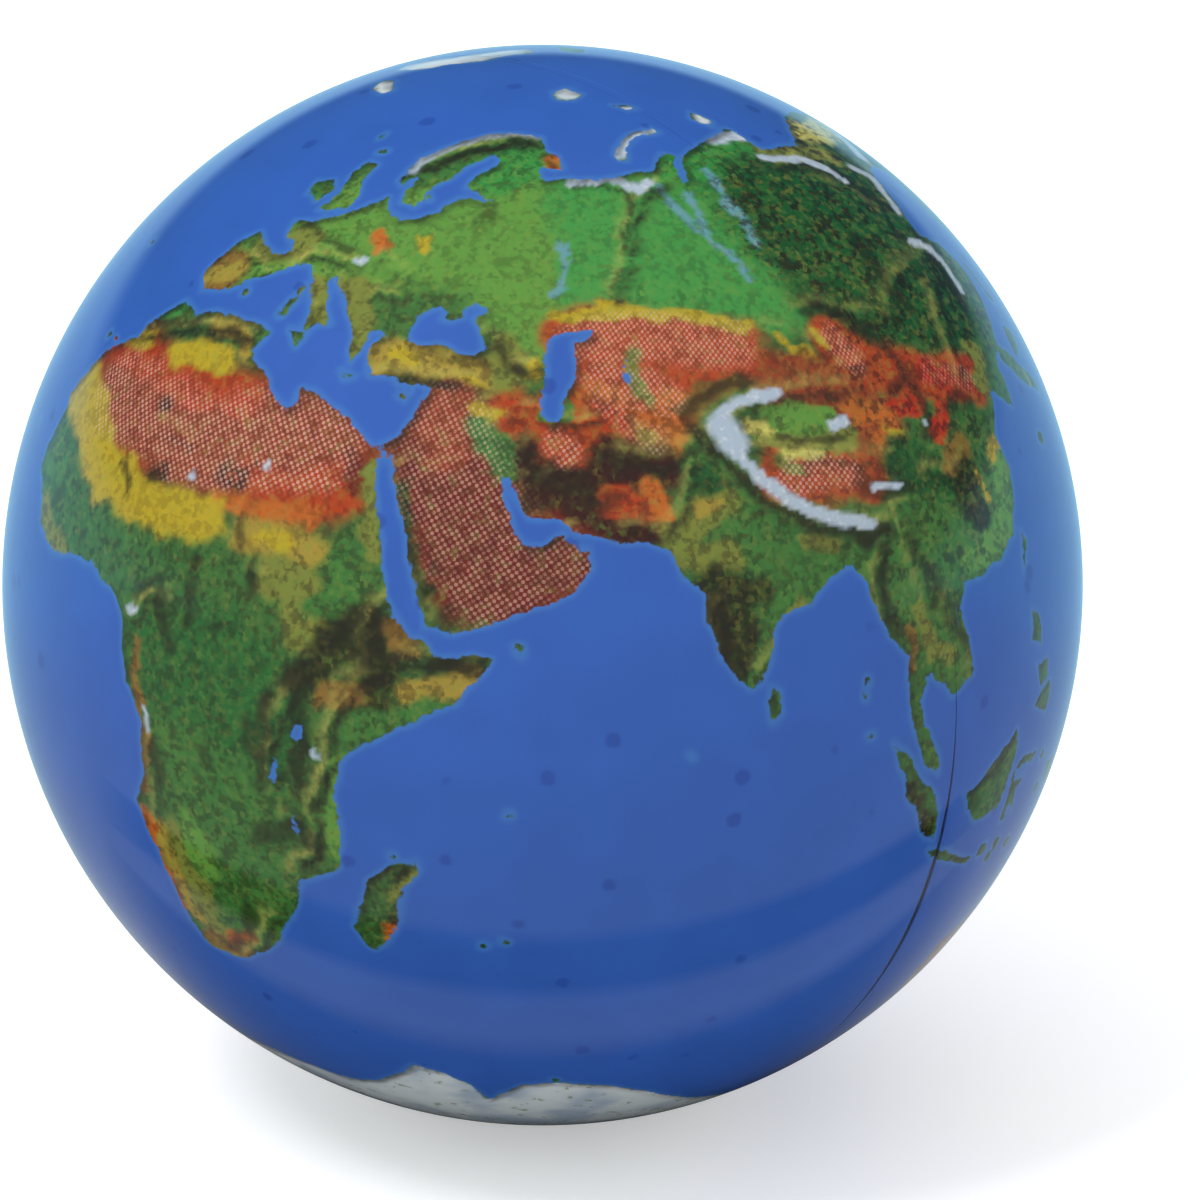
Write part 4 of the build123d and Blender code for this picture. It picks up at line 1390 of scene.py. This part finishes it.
def pale_floor(n):
    """A matt white floor. What the ball mirrors of it is a painted reflection that glows in the light box's
    colours, with rings of painted light and painted shadow round a point behind the ball's foot.
    """
    place = n.add("ShaderNodeNewGeometry").outputs["Position"]
    white = n.mix(n.noise(place, 0.2, 3.0), (FLOOR_SEEN - FLOOR_CLOUD,) * 3, (FLOOR_SEEN,) * 3)
    seen = n.principled(
        0.9, white, Specular_IOR_Level=0.0, Emission_Color=(1, 1, 1), Emission_Strength=FLOOR_LIFT
    )
    bounce = n.shader("ShaderNodeBsdfDiffuse", Color=(FLOOR_BOUNCE,) * 3)
    ahead = n.measure("DOT_PRODUCT", place, level)
    colour = n.mix(n.ramp(ahead, -3 * BALL_RADIUS, 0.5 * BALL_RADIUS), REFLECTED_BEHIND, REFLECTED_FRONT)
    away = n.measure("DISTANCE", place, level * SHADE_CENTRE * BALL_RADIUS + FOOT)
    rings = n.add("ShaderNodeValToRGB")
    n.feed(rings.inputs[0], n.math("DIVIDE", away, SHADE_REACH * BALL_RADIUS))
    while len(rings.color_ramp.elements) < len(SHADE_RINGS):
        rings.color_ramp.elements.new(0.5)
    for stop, (reach, grey) in zip(rings.color_ramp.elements, SHADE_RINGS):
        stop.position = reach / SHADE_REACH
        stop.color = (grey, grey, grey, 1)
    # Painted shadow: the mirrored floor stays dark near the ball's foot; behind the ball, away from the foot,
    # painted light brightens it
    clear_of_foot = n.ramp(n.measure("DISTANCE", place, FOOT), 0.3 * BALL_RADIUS, 1.1 * BALL_RADIUS)
    behind = n.times(n.ramp(ahead, 0.6 * BALL_RADIUS, -0.3 * BALL_RADIUS), clear_of_foot)
    brightness = n.math("MAXIMUM", rings.outputs["Color"], behind)
    mirrored = n.shader("ShaderNodeEmission", Color=colour, Strength=brightness)
    n.end(n.either(n.ray("Is Glossy Ray"), n.either(n.ray("Is Camera Ray"), bounce, seen), mirrored))


def studio():
    """Even white light. What the ball mirrors of it is a painted reflection of a light box, which lights
    nothing.
    """
    world = bpy.data.worlds.new("studio")
    n = Nodes(world, "ShaderNodeOutputWorld")
    white = n.shader("ShaderNodeBackground", Color=(1, 1, 1), Strength=WORLD_LIGHT)
    way = n.add("ShaderNodeTexCoord").outputs["Generated"]
    rise = n.ramp(n.split("ShaderNodeSeparateXYZ", way)["Z"], 0.02, 0.16)
    rear = n.mix(rise, REFLECTED_BEHIND, REFLECTED_OVERHEAD)
    painted_reflection = n.mix(n.ramp(n.measure("DOT_PRODUCT", way, towards), -0.5, 0.5), rear, REFLECTED_FRONT)
    mirrored = n.shader("ShaderNodeBackground", Color=painted_reflection, Strength=1.0)
    n.end(n.either(n.ray("Is Glossy Ray"), white, mirrored))
    return world


corners = [(-1, -1), (1, -1), (1, 1), (-1, 1)]
floor_mesh = bpy.data.meshes.new("floor")
floor_mesh.from_pydata([(x * FLOOR_SIZE, y * FLOOR_SIZE, FOOT.z) for x, y in corners], [], [(0, 1, 2, 3)])
floor_mesh.materials.append(material("pale_floor", pale_floor))
floor = bpy.data.objects.new("floor", floor_mesh)
bpy.context.scene.collection.objects.link(floor)
bpy.context.scene.world = studio()

# The key light: a square soft lamp, high on the camera's left, that the ball doesn't mirror
KEY_SIZE = 0.35
KEY_POWER = 7.0
KEY_PLACE = 1.2 * (-0.45 * right + 0.751 * up + 0.66 * towards)

key_light = bpy.data.lights.new("key_light", "AREA")
key_light.size = KEY_SIZE
key_light.energy = KEY_POWER
key = bpy.data.objects.new("key_light", key_light)
key.location = KEY_PLACE
key.rotation_euler = (-key.location).to_track_quat("-Z", "Y").to_euler()
key.visible_glossy = False
bpy.context.scene.collection.objects.link(key)

CAMERA_DISTANCE = 13.5 * BALL_RADIUS
SENSOR = 36.0
LENS = 218.3
SHIFT = (0.0479, -0.0125)  # the ball is left of the picture's middle and a little above it

camera_data = bpy.data.cameras.new("camera")
camera_data.sensor_width = SENSOR
camera_data.lens = LENS
camera_data.shift_x, camera_data.shift_y = SHIFT
camera = bpy.data.objects.new("camera", camera_data)
camera.location = towards * CAMERA_DISTANCE
camera.rotation_euler = towards.to_track_quat("Z", "Y").to_euler()
bpy.context.scene.collection.objects.link(camera)
bpy.context.scene.camera = camera
bpy.context.scene.view_settings.view_transform = "Standard"
